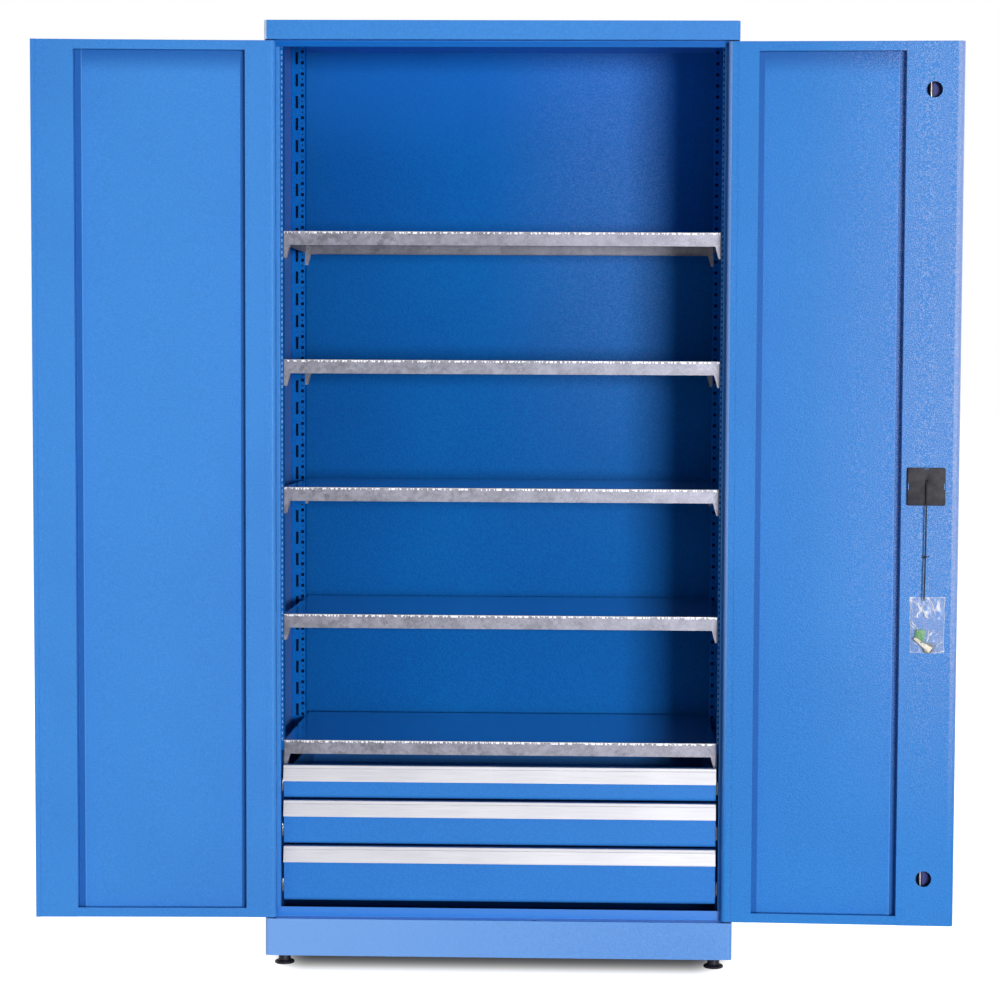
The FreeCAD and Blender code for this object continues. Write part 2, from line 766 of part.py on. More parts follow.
def right_lock_stile():
    """The right door's hollow free stile: rounded edge, two access holes and the lock window."""
    leaf = s.right_leaf
    begin = leaf - s.right_lock_stile
    low = inner_y - s.lock_edge_wall - s.lock_edge_radius
    edge = leaf + s.door_sheet
    lines = [-begin, face_y, -edge, low, -leaf, inner_y]
    plate = folded("right_lock_face", "XY", (door_bottom, door_top), lines,
                   {1: s.lock_edge_radius, 4: s.lock_edge_radius - s.door_sheet})
    inside = (door_bottom + s.rail_height + s.seat_gap, door_top - s.rail_height - s.seat_gap)
    web = stile_web("right_lock_web", -1, begin + s.door_sheet, begin - s.stile_foot, inside)
    through = 3 * s.door_sheet
    access_x = -(leaf - s.access_inset)
    holes = [round_bar("access_%d" % k, "Y", access_x, inner_y - s.door_sheet, z, s.access_radius, through)
             for k, z in enumerate((door_bottom + s.access_margin, door_top - s.access_margin))]
    window = s.lock_window / 2
    holes.append(block("lock_opening", (-lock_u - window, -lock_u + window),
                       (inner_y - s.door_sheet, face_y + s.door_sheet), (lock_z - window, lock_z + window)))
    keep(cut("right_lock_drilled", fuse("right_lock_whole", [plate, web]), holes),
         "right_door_lock_stile", RIGHT_DOOR)


def hinge_bushes(name, placement):
    """Nylon blocks inside a door's top and bottom edges, bored for the pins."""
    bushes = []
    for k, (edge, inward) in enumerate(((door_bottom, 1), (door_top, -1))):
        low, high = span(edge + inward * s.door_sheet, edge + inward * s.bush_length)
        body = square_hole("%s_block_%d" % (name, k), Size.of(0), Size.of(0), s.bush_width, (low, high))
        bore = round_bar("%s_bore_%d" % (name, k), "Z", 0, 0, low - 1,
                         s.pin_radius + s.running_clearance, high - low + 2)
        bushes.append(cut("%s_bush_%d" % (name, k), body, [bore]))
    keep(group(name + "_set", bushes), name, placement)


def hinge_pins():
    """Pins on square heads that hang in the cap's ledge and stand in the plinth's."""
    pins = []
    for side, word in ((-1, "left"), (1, "right")):
        for level, seat, away, tip in (
                ("upper", cap_z + s.frame_sheet, 1, door_top - s.pin_engagement),
                ("lower", plinth_top - s.frame_sheet, -1, door_bottom + s.pin_engagement)):
            name = "%s_%s_pin" % (word, level)
            low, high = span(tip, seat)
            shank = round_bar(name + "_shank", "Z", side * pivot_x, pivot_y, low, s.pin_radius, high - low)
            head = square_hole(name + "_head", side * pivot_x, pivot_y, s.pin_head,
                               (seat, seat + away * s.pin_head_height))
            pins.append(fuse(name, [shank, head]))
    keep(group("hinge_pin_set", pins), "hinge_pins")


def doors():
    """Both leaves, each a skin with a hinge stile and a lock stile, on two bushes."""
    door_skin("left_door_skin", 1, left_leaf, inner_y, None, [], LEFT_DOOR)
    hinge_stile("left_door_hinge_stile", 1, LEFT_DOOR)
    left_lock_stile()
    hinge_bushes("left_door_bushes", LEFT_DOOR)

    wall = inner_y - s.lock_edge_radius - s.door_sheet
    through = 2 * s.door_sheet
    holes = [square_hole("rod_exit_%d" % k, -lock_u, Size.of(0), s.rod_hole, (z - through, z + through))
             for k, z in enumerate((door_bottom, door_top))]
    holes.append(square_bar("spindle_hole", s.spindle_hole, (outer_y - through, outer_y + through)))
    door_skin("right_door_skin", -1, s.right_leaf, wall, s.lock_edge_radius - s.door_sheet, holes, RIGHT_DOOR)
    hinge_stile("right_door_hinge_stile", -1, RIGHT_DOOR)
    right_lock_stile()
    hinge_bushes("right_door_bushes", RIGHT_DOOR)


# The cam's pins stand at 45 degrees when the rods are drawn in, and swing a quarter turn
pin_offset = s.rod_travel / 2
pin_circle = s.rod_travel / math.sqrt(2)
yoke_top = s.yoke_sheet / 2
cam_back = -(s.yoke_sheet / 2) - s.cam_gap - s.cam_sheet


def lock_rods():
    """Upper and lower rods, each bent aside into a fork that a cam pin drives."""
    fork_half = s.cam_pin_radius + s.yoke_play
    inner = pin_offset - s.cam_pin_radius + s.yoke_play
    slot_end = pin_circle + s.cam_pin_radius + s.yoke_play
    outer = slot_end + s.yoke_margin
    for name, up, end in (("upper_lock_rod", 1, door_top), ("lower_lock_rod", -1, door_bottom)):
        def across(a, b):
            return (-(lock_u + up * a), -(lock_u + up * b))

        def along(a, b):
            return (lock_z + up * a, lock_z + up * b)

        thick = (-yoke_top, yoke_top)
        fork_z = -pin_offset
        fork_reach = fork_half + s.yoke_margin
        fork = block(name + "_fork", across(inner, outer), thick,
                     along(fork_z - fork_reach, fork_z + fork_reach))
        stem = block(name + "_stem", across(pin_circle, outer), thick, along(fork_z, s.rod_stem))
        elbow = block(name + "_elbow", across(-s.rod_radius, outer), thick,
                      along(s.rod_stem - 2 * s.rod_radius, s.rod_stem))
        low, high = span(lock_z + up * (s.rod_stem - s.rod_radius), end + up * s.rod_proud)
        shank = round_bar(name + "_shank", "Z", -lock_u, 0, low, s.rod_radius, high - low)
        slot = block(name + "_slot", across(inner - 1, slot_end), (-s.yoke_sheet, s.yoke_sheet),
                     along(fork_z - fork_half, fork_z + fork_half))
        bar = fuse(name + "_bar", [fork, stem, elbow, shank])
        keep(cut(name + "_slotted", bar, [slot]), name, RIGHT_DOOR)


def rod_guides():
    """Two blocks on the skin that the rods slide through."""
    guides = []
    for k, up in enumerate((-1, 1)):
        middle = lock_z + up * s.guide_spread
        body = block("guide_%d_block" % k, (-lock_u - s.guide_width / 2, -lock_u + s.guide_width / 2),
                     (lining_y, lining_y + s.guide_depth),
                     (middle - s.guide_height / 2, middle + s.guide_height / 2))
        bore = square_hole("guide_%d_bore" % k, -lock_u, Size.of(0), 2 * (s.rod_radius + s.rod_play),
                           (middle - s.guide_height, middle + s.guide_height))
        guides.append(cut("guide_%d" % k, body, [bore]))
    keep(group("guide_set", guides), "lock_rod_guides", RIGHT_DOOR)


def square_bar(name, size, y_ends):
    """A square bar along the lock's axis."""
    return block(name, (-lock_u - size / 2, -lock_u + size / 2), y_ends,
                 (lock_z - size / 2, lock_z + size / 2))


def lock_cam():
    """The bar on the spindle whose two pins drive the rods, across the diagonal when they are drawn in."""
    long, wide = s.cam_length / 2 / math.sqrt(2), s.cam_width / 2 / math.sqrt(2)
    corners = [(long + wide, -long + wide), (-long + wide, long + wide),
               (-long - wide, long - wide), (long - wide, -long - wide)]
    bar = shaped("cam_bar", "XZ", (cam_back, cam_back + s.cam_sheet),
                 [(-(lock_u + across), lock_z + up) for across, up in corners])
    pins = [round_bar("cam_pin_%d" % k, "Y", -(lock_u + side * pin_offset), cam_back,
                      lock_z - side * pin_offset, s.cam_pin_radius, s.cam_sheet + s.cam_pin_length)
            for k, side in enumerate((1, -1))]
    bore = square_bar("cam_bore", s.spindle, (cam_back - 1, cam_back + s.cam_sheet + 1))
    keep(cut("cam_bored", fuse("cam_with_pins", [bar] + pins), [bore]), "lock_cam", RIGHT_DOOR)


def lock_cover():
    """The square cover over the lock window, hollow behind, with three release notches."""
    reach = s.cover_size / 2
    top = face_y + s.cover_height
    shell = clipped_plate("cover_shell", -lock_u, reach, lock_z - reach, lock_z + reach, s.cover_corner,
                          (face_y, top))
    room = reach - s.cover_wall
    tools = [block("cover_room", (-lock_u - room, -lock_u + room), (face_y - 1, top - s.cover_wall),
                   (lock_z - room, lock_z + room))]
    notch = s.cover_notch / 2
    dip = (top - s.cover_notch_depth / 2, top + 1)
    edge = reach - s.cover_wall
    inset = edge - s.cover_notch_depth
    tools.append(block("cover_notch_top", (-lock_u - notch, -lock_u + notch), dip,
                       (lock_z + inset, lock_z + edge)))
    for side in (-1, 1):
        tools.append(block("cover_notch_%d" % side, (-lock_u + side * inset, -lock_u + side * edge), dip,
                           (lock_z - notch, lock_z + notch)))
    tools.append(round_bar("cover_cord_hole", "Y", -lock_u, top - 2 * s.cover_wall, lock_z + s.cord_rise,
                           s.cord_hole_radius, 3 * s.cover_wall))
    keep(cut("cover_cut", shell, tools), "lock_cover", RIGHT_DOOR)


plate_y = outer_y - s.plate_thickness
hub_y = plate_y - s.handle_gap
hub_end = hub_y - s.hub_height


def handle_plate():
    """The plate on the door's outer face that the handle turns in, its corners cut off."""
    tall = s.plate_height / 2
    plate = clipped_plate("plate_blank", -lock_u, s.plate_width / 2, lock_z - tall, lock_z + tall,
                          s.plate_corner, (plate_y, outer_y))
    bore = round_bar("plate_bore", "Y", -lock_u, plate_y - 1, lock_z, s.collar_radius + s.running_clearance,
                     s.plate_thickness + 2)
    keep(cut("plate_bored", plate, [bore]), "handle_plate", RIGHT_DOOR)


def handle():
    """A hub with a tapered lever, a collar that runs in the plate and a square spindle."""
    hub = round_bar("handle_hub", "Y", -lock_u, hub_end, lock_z, s.hub_radius, s.hub_height)
    collar = round_bar("handle_collar", "Y", -lock_u, hub_y, lock_z, s.collar_radius,
                       s.handle_gap + s.plate_thickness)
    root, tip = s.lever_width / 2, s.lever_tip_width / 2
    end = -(lock_u - s.lever_length)
    ease = s.lever_tip_width / 4
    lever = shaped("handle_lever", "XZ", (hub_end, hub_end + s.lever_thickness), [
        (-lock_u, lock_z - root), (end - ease, lock_z - tip), (end, lock_z - tip + ease),
        (end, lock_z + tip - ease), (end - ease, lock_z + tip), (-lock_u, lock_z + root)])
    spindle = square_bar("handle_spindle", s.spindle, (hub_y, s.spindle_end))
    seat = round_bar("handle_barrel_seat", "Y", -lock_u, hub_end - 1, lock_z,
                     s.barrel_radius + s.running_clearance, s.barrel_depth + 1)
    whole = fuse("handle_whole", [hub, collar, lever, spindle])
    keep(cut("handle_bored", whole, [seat]), "handle", RIGHT_DOOR)


def key_barrel():
    """The lock's barrel in the handle's hub, with its keyway."""
    face = hub_end - s.barrel_proud
    plug = round_bar("barrel_plug", "Y", -lock_u, face, lock_z, s.barrel_radius,
                     s.barrel_depth + s.barrel_proud)
    keyway = block("barrel_keyway", (-lock_u - s.keyway_width / 2, -lock_u + s.keyway_width / 2),
                   (face - 1, face + s.keyway_depth),
                   (lock_z - s.keyway_length / 2, lock_z + s.keyway_length / 2))
    keep(cut("barrel_cut", plug, [keyway]), "key_barrel", RIGHT_DOOR)


cover_top = face_y + s.cover_height
cord_y = cover_top + s.cord_bend + s.cord_radius
cord_top = lock_z + s.cord_rise
bag_back = face_y + s.seat_gap
bag_top = cord_top - s.cord_drop + s.cord_in_bag
bag_floor = bag_top - s.bag_height


def key_cord():
    """A thin cord out of the cover's hole, over one tight bend and straight down into the bag."""
    x = -lock_u.value
    out_y, hang_y, top = cover_top.value, cord_y.value, cord_top.value
    radius = s.cord_bend.value
    end = top - s.cord_drop.value
    turn = FreeCAD.Vector(x, hang_y - radius * (1 - math.sin(math.pi / 4)),
                          top - radius * (1 - math.cos(math.pi / 4)))
    bend_in, bend_out = FreeCAD.Vector(x, hang_y - radius, top), FreeCAD.Vector(x, hang_y, top - radius)
    start, finish = FreeCAD.Vector(x, out_y, top), FreeCAD.Vector(x, hang_y, end)
    path = Part.Wire([Part.LineSegment(start, bend_in).toShape(), Part.Arc(bend_in, turn, bend_out).toShape(),
                      Part.LineSegment(bend_out, finish).toShape()])
    around = [2 * math.pi * (k + 0.5) / CORD_FLATS for k in range(CORD_FLATS)]
    ring = [start + FreeCAD.Vector(math.cos(a), 0, math.sin(a)) * s.cord_radius.value for a in around]
    section = Part.makePolygon(ring + ring[:1])
    tube = path.makePipeShell([section], True, False)
    cord = doc.addObject("Part::Feature", "cord_tube")
    cord.Shape = tube
    area = CORD_FLATS / 2 * math.sin(2 * math.pi / CORD_FLATS) * s.cord_radius.value ** 2
    print("cord bend radius %.1f, length %.1f, volume %.1f of %.1f" % (
        radius, path.Length, tube.Volume, area * path.Length))
    keep(cord, "key_cord", RIGHT_DOOR)


def key_bag():
    """A clear pouch, open at the top, that lies against the lock stile."""
    wide = s.bag_width / 2
    middle = -lock_u - s.bag_offset
    outside = block("bag_outside", (middle - wide, middle + wide), (bag_back, bag_back + s.bag_depth),
                    (bag_floor, bag_top))
    film = s.bag_film
    inside = block("bag_inside", (middle - wide + film, middle + wide - film),
                   (bag_back + film, bag_back + s.bag_depth - film), (bag_floor + film, bag_top + 1))
    keep(cut("bag_pouch", outside, [inside]), "key_bag", RIGHT_DOOR)


def keys():
    """Two flat keys on the pouch's floor and the tag that goes with them."""
    floor = bag_floor + s.bag_film + s.seat_gap
    back_y = bag_back + s.bag_film + s.seat_gap
    eye = s.key_eye / 2
    cut_keys = []
    for k in range(2):
        y = back_y + s.tag_thickness + s.seat_gap + k * (s.key_thickness + s.seat_gap)
        ends = (y, y + s.key_thickness)
        middle = -lock_u + s.tag_offset - k * s.key_blade_width
        head = clipped_plate("key_%d_bow" % k, middle, s.key_bow / 2, floor, floor + s.key_bow,
                             s.key_bow_corner, ends)
        blade = block("key_%d_blade" % k, (middle - s.key_blade_width / 2, middle + s.key_blade_width / 2),
                      ends, (floor + s.key_bow / 2, floor + s.key_bow + s.key_blade_length))
        hole = block("key_%d_eye" % k, (middle - eye, middle + eye), (y - 1, y + s.key_thickness + 1),
                     (floor + eye, floor + 3 * eye))
        cut_keys.append(cut("key_%d" % k, fuse("key_%d_blank" % k, [head, blade]), [hole]))
    keep(group("key_pair", cut_keys), "keys", RIGHT_DOOR)
    low = floor + s.tag_rise
    high = low + s.tag_height
    middle = -lock_u + s.tag_offset
    plate = clipped_plate("tag_plate", middle, s.tag_width / 2, low, high, s.tag_corner,
                          (back_y, back_y + s.tag_thickness))
    hole = block("tag_eye", (middle - eye, middle + eye), (back_y - 1, back_y + s.tag_thickness + 1),
                 (high - 4 * eye, high - 2 * eye))
    keep(cut("tag_cut", plate, [hole]), "key_tag", RIGHT_DOOR)


panel_y = front + s.drawer_setback
front_x = post_x - s.front_play
box_x = post_x - s.box_gap


def slide_channel(name, side, web, arms, z, tall):
    """A slide rail: a channel with its web on one plane and its arms reaching to another."""
    sheet_in = s.rail_sheet
    toward = 1 if arms.value > web.value else -1
    inner = web + toward * sheet_in
    low, high = z - tall / 2, z + tall / 2
    rail_y = front + s.rail_start
    return folded(name, "XZ", (rail_y, rail_y + s.rail_length),
                  [side * web, low, side * arms, low + sheet_in,
                   side * inner, high - sheet_in, side * arms, high])


def slide_rails(number, z):
    """Outer, middle and inner rails of one drawer, left and right."""
    step = s.rail_sheet + s.rail_play
    outers, middles, inners = [], [], []
    for side in (-1, 1):
        label = "%d_%s" % (number, "left" if side < 0 else "right")
        middle_web = post_x - step
        outers.append(slide_channel("outer_rail_" + label, side, post_x, post_x - s.rail_arm, z, s.rail_tall))
        middles.append(slide_channel("middle_rail_" + label, side, middle_web, middle_web - s.rail_arm, z,
                                     s.rail_tall - 2 * step))
        inners.append(slide_channel("inner_rail_" + label, side, box_x, middle_web - step, z,
                                    s.rail_tall - 4 * step))
    return outers, middles, inners


def grip_profile(y, top):
    """The aluminium pull: a beaded top edge, a face that slopes out, and a hooked lower lip."""
    low = top - s.grip_height
    bead = top - s.grip_bead
    toe = y - s.grip_reach
    brow = y - s.grip_top - s.grip_groove
    return [(y, top), (y - s.grip_top, top), (brow, top - 1), (brow, bead),
            (y - s.grip_top, bead - s.grip_groove),
            (brow, bead - 2 * s.grip_groove), (toe, low + 3), (toe, low), (toe + s.grip_wall, low),
            (toe + s.grip_wall, low + 4), (y - s.grip_back_wall - 1, top - s.grip_roof),
            (y - s.grip_back_wall, top - s.grip_roof), (y - s.grip_back_wall, top - s.grip_back),
            (y, top - s.grip_back)]


def drawers():
    """Three drawers, each a front, a grip and a box on telescopic rails."""
    low = floor_z + s.drawers_rise
    outer_rails = []
    for number, tall in ((3, s.lower_front), (2, s.middle_front), (1, s.upper_front)):
        name = "drawer_%d" % number
        top = low + tall
        panel = s.panel_sheet
        rear = panel_y + s.front_return
        lines = [panel_y, top, rear, top - panel, panel_y + panel, low + panel, rear, low]
        keep(folded(name + "_panel", "YZ", both(front_x), lines,
                    {0: s.front_top_bend, 7: s.front_bend,
                     3: s.front_top_bend - panel, 4: s.front_bend - panel}), name + "_front")
        keep(shaped(name + "_pull", "YZ", both(front_x), grip_profile(panel_y, top)), name + "_grip")
        box_y = panel_y + panel
        box_low, box_high = low + s.box_rise, top - s.box_drop
        outside = block(name + "_outside", both(box_x), (box_y, box_y + s.box_depth), (box_low, box_high))
        inside = block(name + "_inside", both(box_x - panel), (box_y + panel, box_y + s.box_depth - panel),
                       (box_low + panel, box_high + 1))
        keep(cut(name + "_tray", outside, [inside]), name + "_box")
        outers, middles, inners = slide_rails(number, low + s.rail_rise)
        outer_rails += outers
        keep(group(name + "_middle_pair", middles), name + "_middle_rails")
        keep(group(name + "_inner_pair", inners), name + "_inner_rails")
        low = top + s.drawer_gap
    keep(group("outer_rail_set", outer_rails), "drawer_outer_rails")


def feet():
    """Four levelling feet with flatted pads and hexagon necks, their studs in nuts on corner plates."""
    plates = []
    plate_z = base_z + s.foot_plate_rise
    for place, edge, inward in (("front", front, 1), ("rear", back, -1)):
        for side, word in ((-1, "left"), (1, "right")):
            name = "%s_%s_foot" % (place, word)
            x = side * (half - s.foot_inset_x)
            y = edge + inward * s.foot_inset_y
            pad = flatted_bar(name + "_pad", PAD_FLATS, x, y, 0, s.pad_radius, s.pad_height)
            neck = flatted_bar(name + "_neck", 6, x, y, s.pad_height, s.foot_hex_radius,
                               s.foot_hex_top - s.pad_height)
            stud = round_bar(name + "_stud", "Z", x, y, s.foot_hex_top, s.stud_radius,
                             s.stud_top - s.foot_hex_top)
            keep(fuse(name + "_whole", [pad, neck, stud]), name)

            plate = block(name + "_plate", (side * inside_x, side * (inside_x - s.foot_plate)),
                          (edge + inward * s.corner_radius, edge + inward * s.foot_plate),
                          (plate_z, plate_z + s.foot_plate_sheet))
            nut = square_hole(name + "_weld_nut", x, y, s.weld_nut, (plate_z - s.weld_nut_height, plate_z))
            bore = round_bar(name + "_thread", "Z", x, y, plate_z - s.weld_nut_height - 1,
                             s.stud_radius + s.running_clearance, s.weld_nut_height + s.foot_plate_sheet + 2)
            plates.append(cut(name + "_nut", fuse(name + "_nut_blank", [plate, nut]), [bore]))
    keep(group("foot_plate_set", plates), "foot_plates")


roof_cap()
plinth()
panels()
posts()
shelves()
shelf_clips()
hinge_pins()
doors()
lock_rods()
rod_guides()
lock_cam()
lock_cover()
handle_plate()
handle()
key_barrel()
key_cord()
key_bag()
keys()
drawers()
feet()
doc.recompute()

for thing in doc.Objects:
    if "Invalid" in thing.State or "Error" in thing.State:
        raise RuntimeError("%s failed: %s" % (thing.Label, thing.State))
for part in nodes:
    if part.Shape.isNull() or not part.Shape.isValid():
        raise RuntimeError("%s has no valid shape" % part.Label)

os.makedirs("parts", exist_ok=True)
for part in nodes:
    part.Shape.exportStep("parts/%s.step" % part.Label)
print("%d sub-parts" % len(nodes))
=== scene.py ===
"""Looks of a two-door steel storage cabinet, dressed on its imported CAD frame.

Metres, in the frame of the CAD model: X to the right as seen from the front, Y to the back,
Z up from the floor.
"""
import logging
import math
from dataclasses import dataclass, field
from enum import Enum
from functools import cache
from typing import Callable, Iterable, Sequence, Union

import bpy
from mathutils import Matrix, Vector, noise


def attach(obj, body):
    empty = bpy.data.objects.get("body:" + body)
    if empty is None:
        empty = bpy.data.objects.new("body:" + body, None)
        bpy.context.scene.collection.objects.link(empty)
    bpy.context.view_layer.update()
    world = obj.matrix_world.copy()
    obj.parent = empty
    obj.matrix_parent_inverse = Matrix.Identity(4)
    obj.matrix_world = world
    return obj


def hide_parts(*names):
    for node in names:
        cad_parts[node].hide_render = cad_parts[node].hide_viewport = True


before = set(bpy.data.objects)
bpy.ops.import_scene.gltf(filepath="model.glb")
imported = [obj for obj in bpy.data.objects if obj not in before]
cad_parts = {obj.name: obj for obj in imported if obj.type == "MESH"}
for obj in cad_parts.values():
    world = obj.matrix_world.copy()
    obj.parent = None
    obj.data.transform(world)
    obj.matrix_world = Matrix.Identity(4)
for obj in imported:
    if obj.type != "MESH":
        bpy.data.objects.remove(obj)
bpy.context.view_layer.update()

logging.basicConfig(level=logging.INFO, format="%(name)s: %(message)s")
log = logging.getLogger("cabinet")

Colour = tuple[float, float, float]
Pair = tuple[float, float]
Point = tuple[float, float, float]
Test = Callable[[Vector, Vector], bool]

MILLIMETRE = 0.001
EVEN: Point = (1.0, 1.0, 1.0)
UPRIGHT = math.pi / 2
HINGE: Pair = (0.4905, -0.238)
OPENING = math.radians(178.0)
SHARP_EDGE = math.radians(40.0)
BIT_LENGTH = 0.01
FACING = 0.9


class Side(Enum):
    """Left or right of the carcass as seen from the front."""

    LEFT = -1
    RIGHT = 1

    @property
    def word(self) -> str:
        """The side's name as the CAD nodes write it."""
        return self.name.lower()


class Body(Enum):
    """Bodies that the new pieces ride on; each foot has one of its own besides."""

    CARCASS = "carcass"
    RIGHT_DOOR = "right_door"
    HANDLE = "door_handle"


class Slot(Enum):
    """The record's material slots, passed along with the new pieces but not assigned."""

    COAT = "blue_powder_coat"
    ZINC = "zinc_steel"
    PLASTIC = "black_plastic"
    CORD = "black_cord"
    FILM = "clear_film"
    TAG = "green_tag"
    KEY = "key_steel"


class Signal:
    """A shader socket that takes part in Python arithmetic."""

    def __init__(self, graph: "Graph", socket: bpy.types.NodeSocket) -> None:
        """Keeps the socket and the graph that it belongs to."""
        self.graph = graph
        self.socket = socket

    def _math(self, operation: str, first: "Value", second: "Value", clamp: bool = False) -> "Signal":
        """Adds one Math node.

        Args:
            operation: Blender's name of the operation.
            first: left operand.
            second: right operand.
            clamp: whether the result is held between 0 and 1.

        Returns:
            The node's result.
        """
        settings = {"operation": operation, "use_clamp": clamp}
        return self.graph.node("ShaderNodeMath", settings, {0: first, 1: second}).out(0)

    def __add__(self, other: "Value") -> "Signal":
        """Sum."""
        return self._math("ADD", self, other)

    def __radd__(self, other: "Value") -> "Signal":
        """Sum with the signal on the right."""
        return self._math("ADD", other, self)

    def __sub__(self, other: "Value") -> "Signal":
        """Difference."""
        return self._math("SUBTRACT", self, other)

    def __rsub__(self, other: "Value") -> "Signal":
        """Difference with the signal on the right."""
        return self._math("SUBTRACT", other, self)

    def __mul__(self, other: "Value") -> "Signal":
        """Product."""
        return self._math("MULTIPLY", self, other)

    def __truediv__(self, other: "Value") -> "Signal":
        """Quotient."""
        return self._math("DIVIDE", self, other)

    def __mod__(self, other: "Value") -> "Signal":
        """Remainder, never negative."""
        return self._math("FLOORED_MODULO", self, other)

    def squared(self) -> "Signal":
        """The value times itself."""
        return self * self

    def held(self) -> "Signal":
        """The value held between 0 and 1."""
        return self._math("ADD", self, 0.0, clamp=True)

    def at_least(self, other: "Value") -> "Signal":
        """The larger of two values."""
        return self._math("MAXIMUM", self, other)

    def at_most(self, other: "Value") -> "Signal":
        """The smaller of two values."""
        return self._math("MINIMUM", self, other)

    def step(self, low: float, high: float) -> "Signal":
        """A smooth step, 0 at low and 1 at high, which may lie below low."""
        settings = {"interpolation_type": "SMOOTHSTEP"}
        return self.graph.node("ShaderNodeMapRange", settings, {"Value": self, 1: low, 2: high}).out(0)

    def past(self, edge: float, soft: float) -> "Signal":
        """A step up to 1 past an edge, soft for this far on both sides of it."""
        return self.step(edge - soft, edge + soft)

    def short_of(self, edge: float, soft: float) -> "Signal":
        """A step down from 1 to 0 at an edge, soft for this far on both sides of it."""
        return self.step(edge + soft, edge - soft)


Value = Union[Signal, float, Sequence[float]]


class Placed:
    """A node that stands in a graph."""

    def __init__(self, graph: "Graph", node: bpy.types.Node) -> None:
        """Keeps the node and its graph."""
        self.graph = graph
        self.node = node

    def out(self, key: Union[int, str]) -> Signal:
        """One of the node's outputs."""
        return Signal(self.graph, self.node.outputs[key])


class Graph:
    """A material's or world's node tree and the ways to add to it."""

    def __init__(self, owner: Union[bpy.types.Material, bpy.types.World]) -> None:
        """Empties the owner's node tree.

        Args:
            owner: the material or world.
        """
        owner.use_nodes = True
        self.tree = owner.node_tree
        self.tree.nodes.clear()

    def node(self, kind: str, settings: dict | None = None, inputs: dict | None = None) -> Placed:
        """Adds any node.

        Args:
            kind: the node's type name.
            settings: properties, which are set first.
            inputs: values or signals by socket name or number.

        Returns:
            The placed node.
        """
        made = self.tree.nodes.new(kind)
        for key, value in (settings or {}).items():
            setattr(made, key, value)
        for key, value in (inputs or {}).items():
            socket = made.inputs[key]
            if isinstance(value, Signal):
                self.tree.links.new(value.socket, socket)
            elif socket.type == "RGBA":
                socket.default_value = (*value, 1.0)
            else:
                socket.default_value = value
        return Placed(self, made)

    def place(self, stretch: Point = EVEN) -> Signal:
        """Object coordinates, stretched along the axes.

        Args:
            stretch: scale along each axis.

        Returns:
            The coordinates.
        """
        spot = self.node("ShaderNodeTexCoord").out("Object")
        if stretch == EVEN:
            return spot
        return self.node("ShaderNodeMapping", {}, {"Vector": spot, "Scale": stretch}).out(0)

    def axes(self) -> tuple[Signal, Signal, Signal]:
        """Object coordinates one by one."""
        parts = self.node("ShaderNodeSeparateXYZ", {}, {0: self.place()})
        return parts.out(0), parts.out(1), parts.out(2)

    def noise(self, size: float, detail: float, stretch: Point = EVEN) -> Signal:
        """Soft noise with blots of about a given size.

        Args:
            size: width of a blot in metres.
            detail: octaves of finer noise.
            stretch: scale along each axis.

        Returns:
            The noise, about 0.5 on average.
        """
        inputs = {"Vector": self.place(stretch), "Scale": 1.0 / size, "Detail": detail, "Roughness": 0.55}
        return self.node("ShaderNodeTexNoise", {}, inputs).out("Fac")

    def cells(self, size: float) -> Signal:
        """A random value for each crystal.

        Args:
            size: width of a crystal in metres.

        Returns:
            The value, 0 to 1.
        """
        inputs = {"Vector": self.place(), "Scale": 1.0 / size}
        colour = self.node("ShaderNodeTexVoronoi", {}, inputs).out("Color")
        return self.node("ShaderNodeSeparateColor", {}, {0: colour}).out(0)

    def mix(self, amount: Value, first: Value, second: Value) -> Signal:
        """The first colour where the amount is 0, the second where it is 1."""
        return self.node("ShaderNodeMix", {"data_type": "RGBA"}, {0: amount, 6: first, 7: second}).out(2)

    def bump(self, height: Signal, depth: float, strength: float) -> Signal:
        """A normal tilted by a height, of which 1 stands for this depth in metres."""
        inputs = {"Height": height, "Distance": depth, "Strength": strength}
        return self.node("ShaderNodeBump", {}, inputs).out(0)

    def seen(self) -> Signal:
        """1 for what is seen, straight, in a reflection or through a film; 0 for what only lights."""
        path = self.node("ShaderNodeLightPath")
        return (path.out("Is Camera Ray") + path.out("Is Glossy Ray")
                + path.out("Is Transmission Ray")).held()

    def surface(self, **sockets: Value) -> None:
        """Closes the material with a Principled shader.

        Args:
            sockets: values or signals by socket name, with _ for a space.
        """
        inputs = {key.replace("_", " "): value for key, value in sockets.items()}
        shader = self.node("ShaderNodeBsdfPrincipled", {}, inputs).out(0)
        self.node("ShaderNodeOutputMaterial", {}, {"Surface": shader})


@dataclass(frozen=True)
class Finish:
    """A finish that is mixed once and shared by all pieces that carry it."""

    name: str

    @cache
    def material(self) -> bpy.types.Material:
        """The finish as a material.

        Returns:
            The material, the same one at each call.
        """
        made = bpy.data.materials.new(self.name)
        self.mix(Graph(made))
        return made

    def mix(self, graph: Graph) -> None:
        """Lays down the finish's nodes; each finish has its own."""
        raise NotImplementedError(self.name)


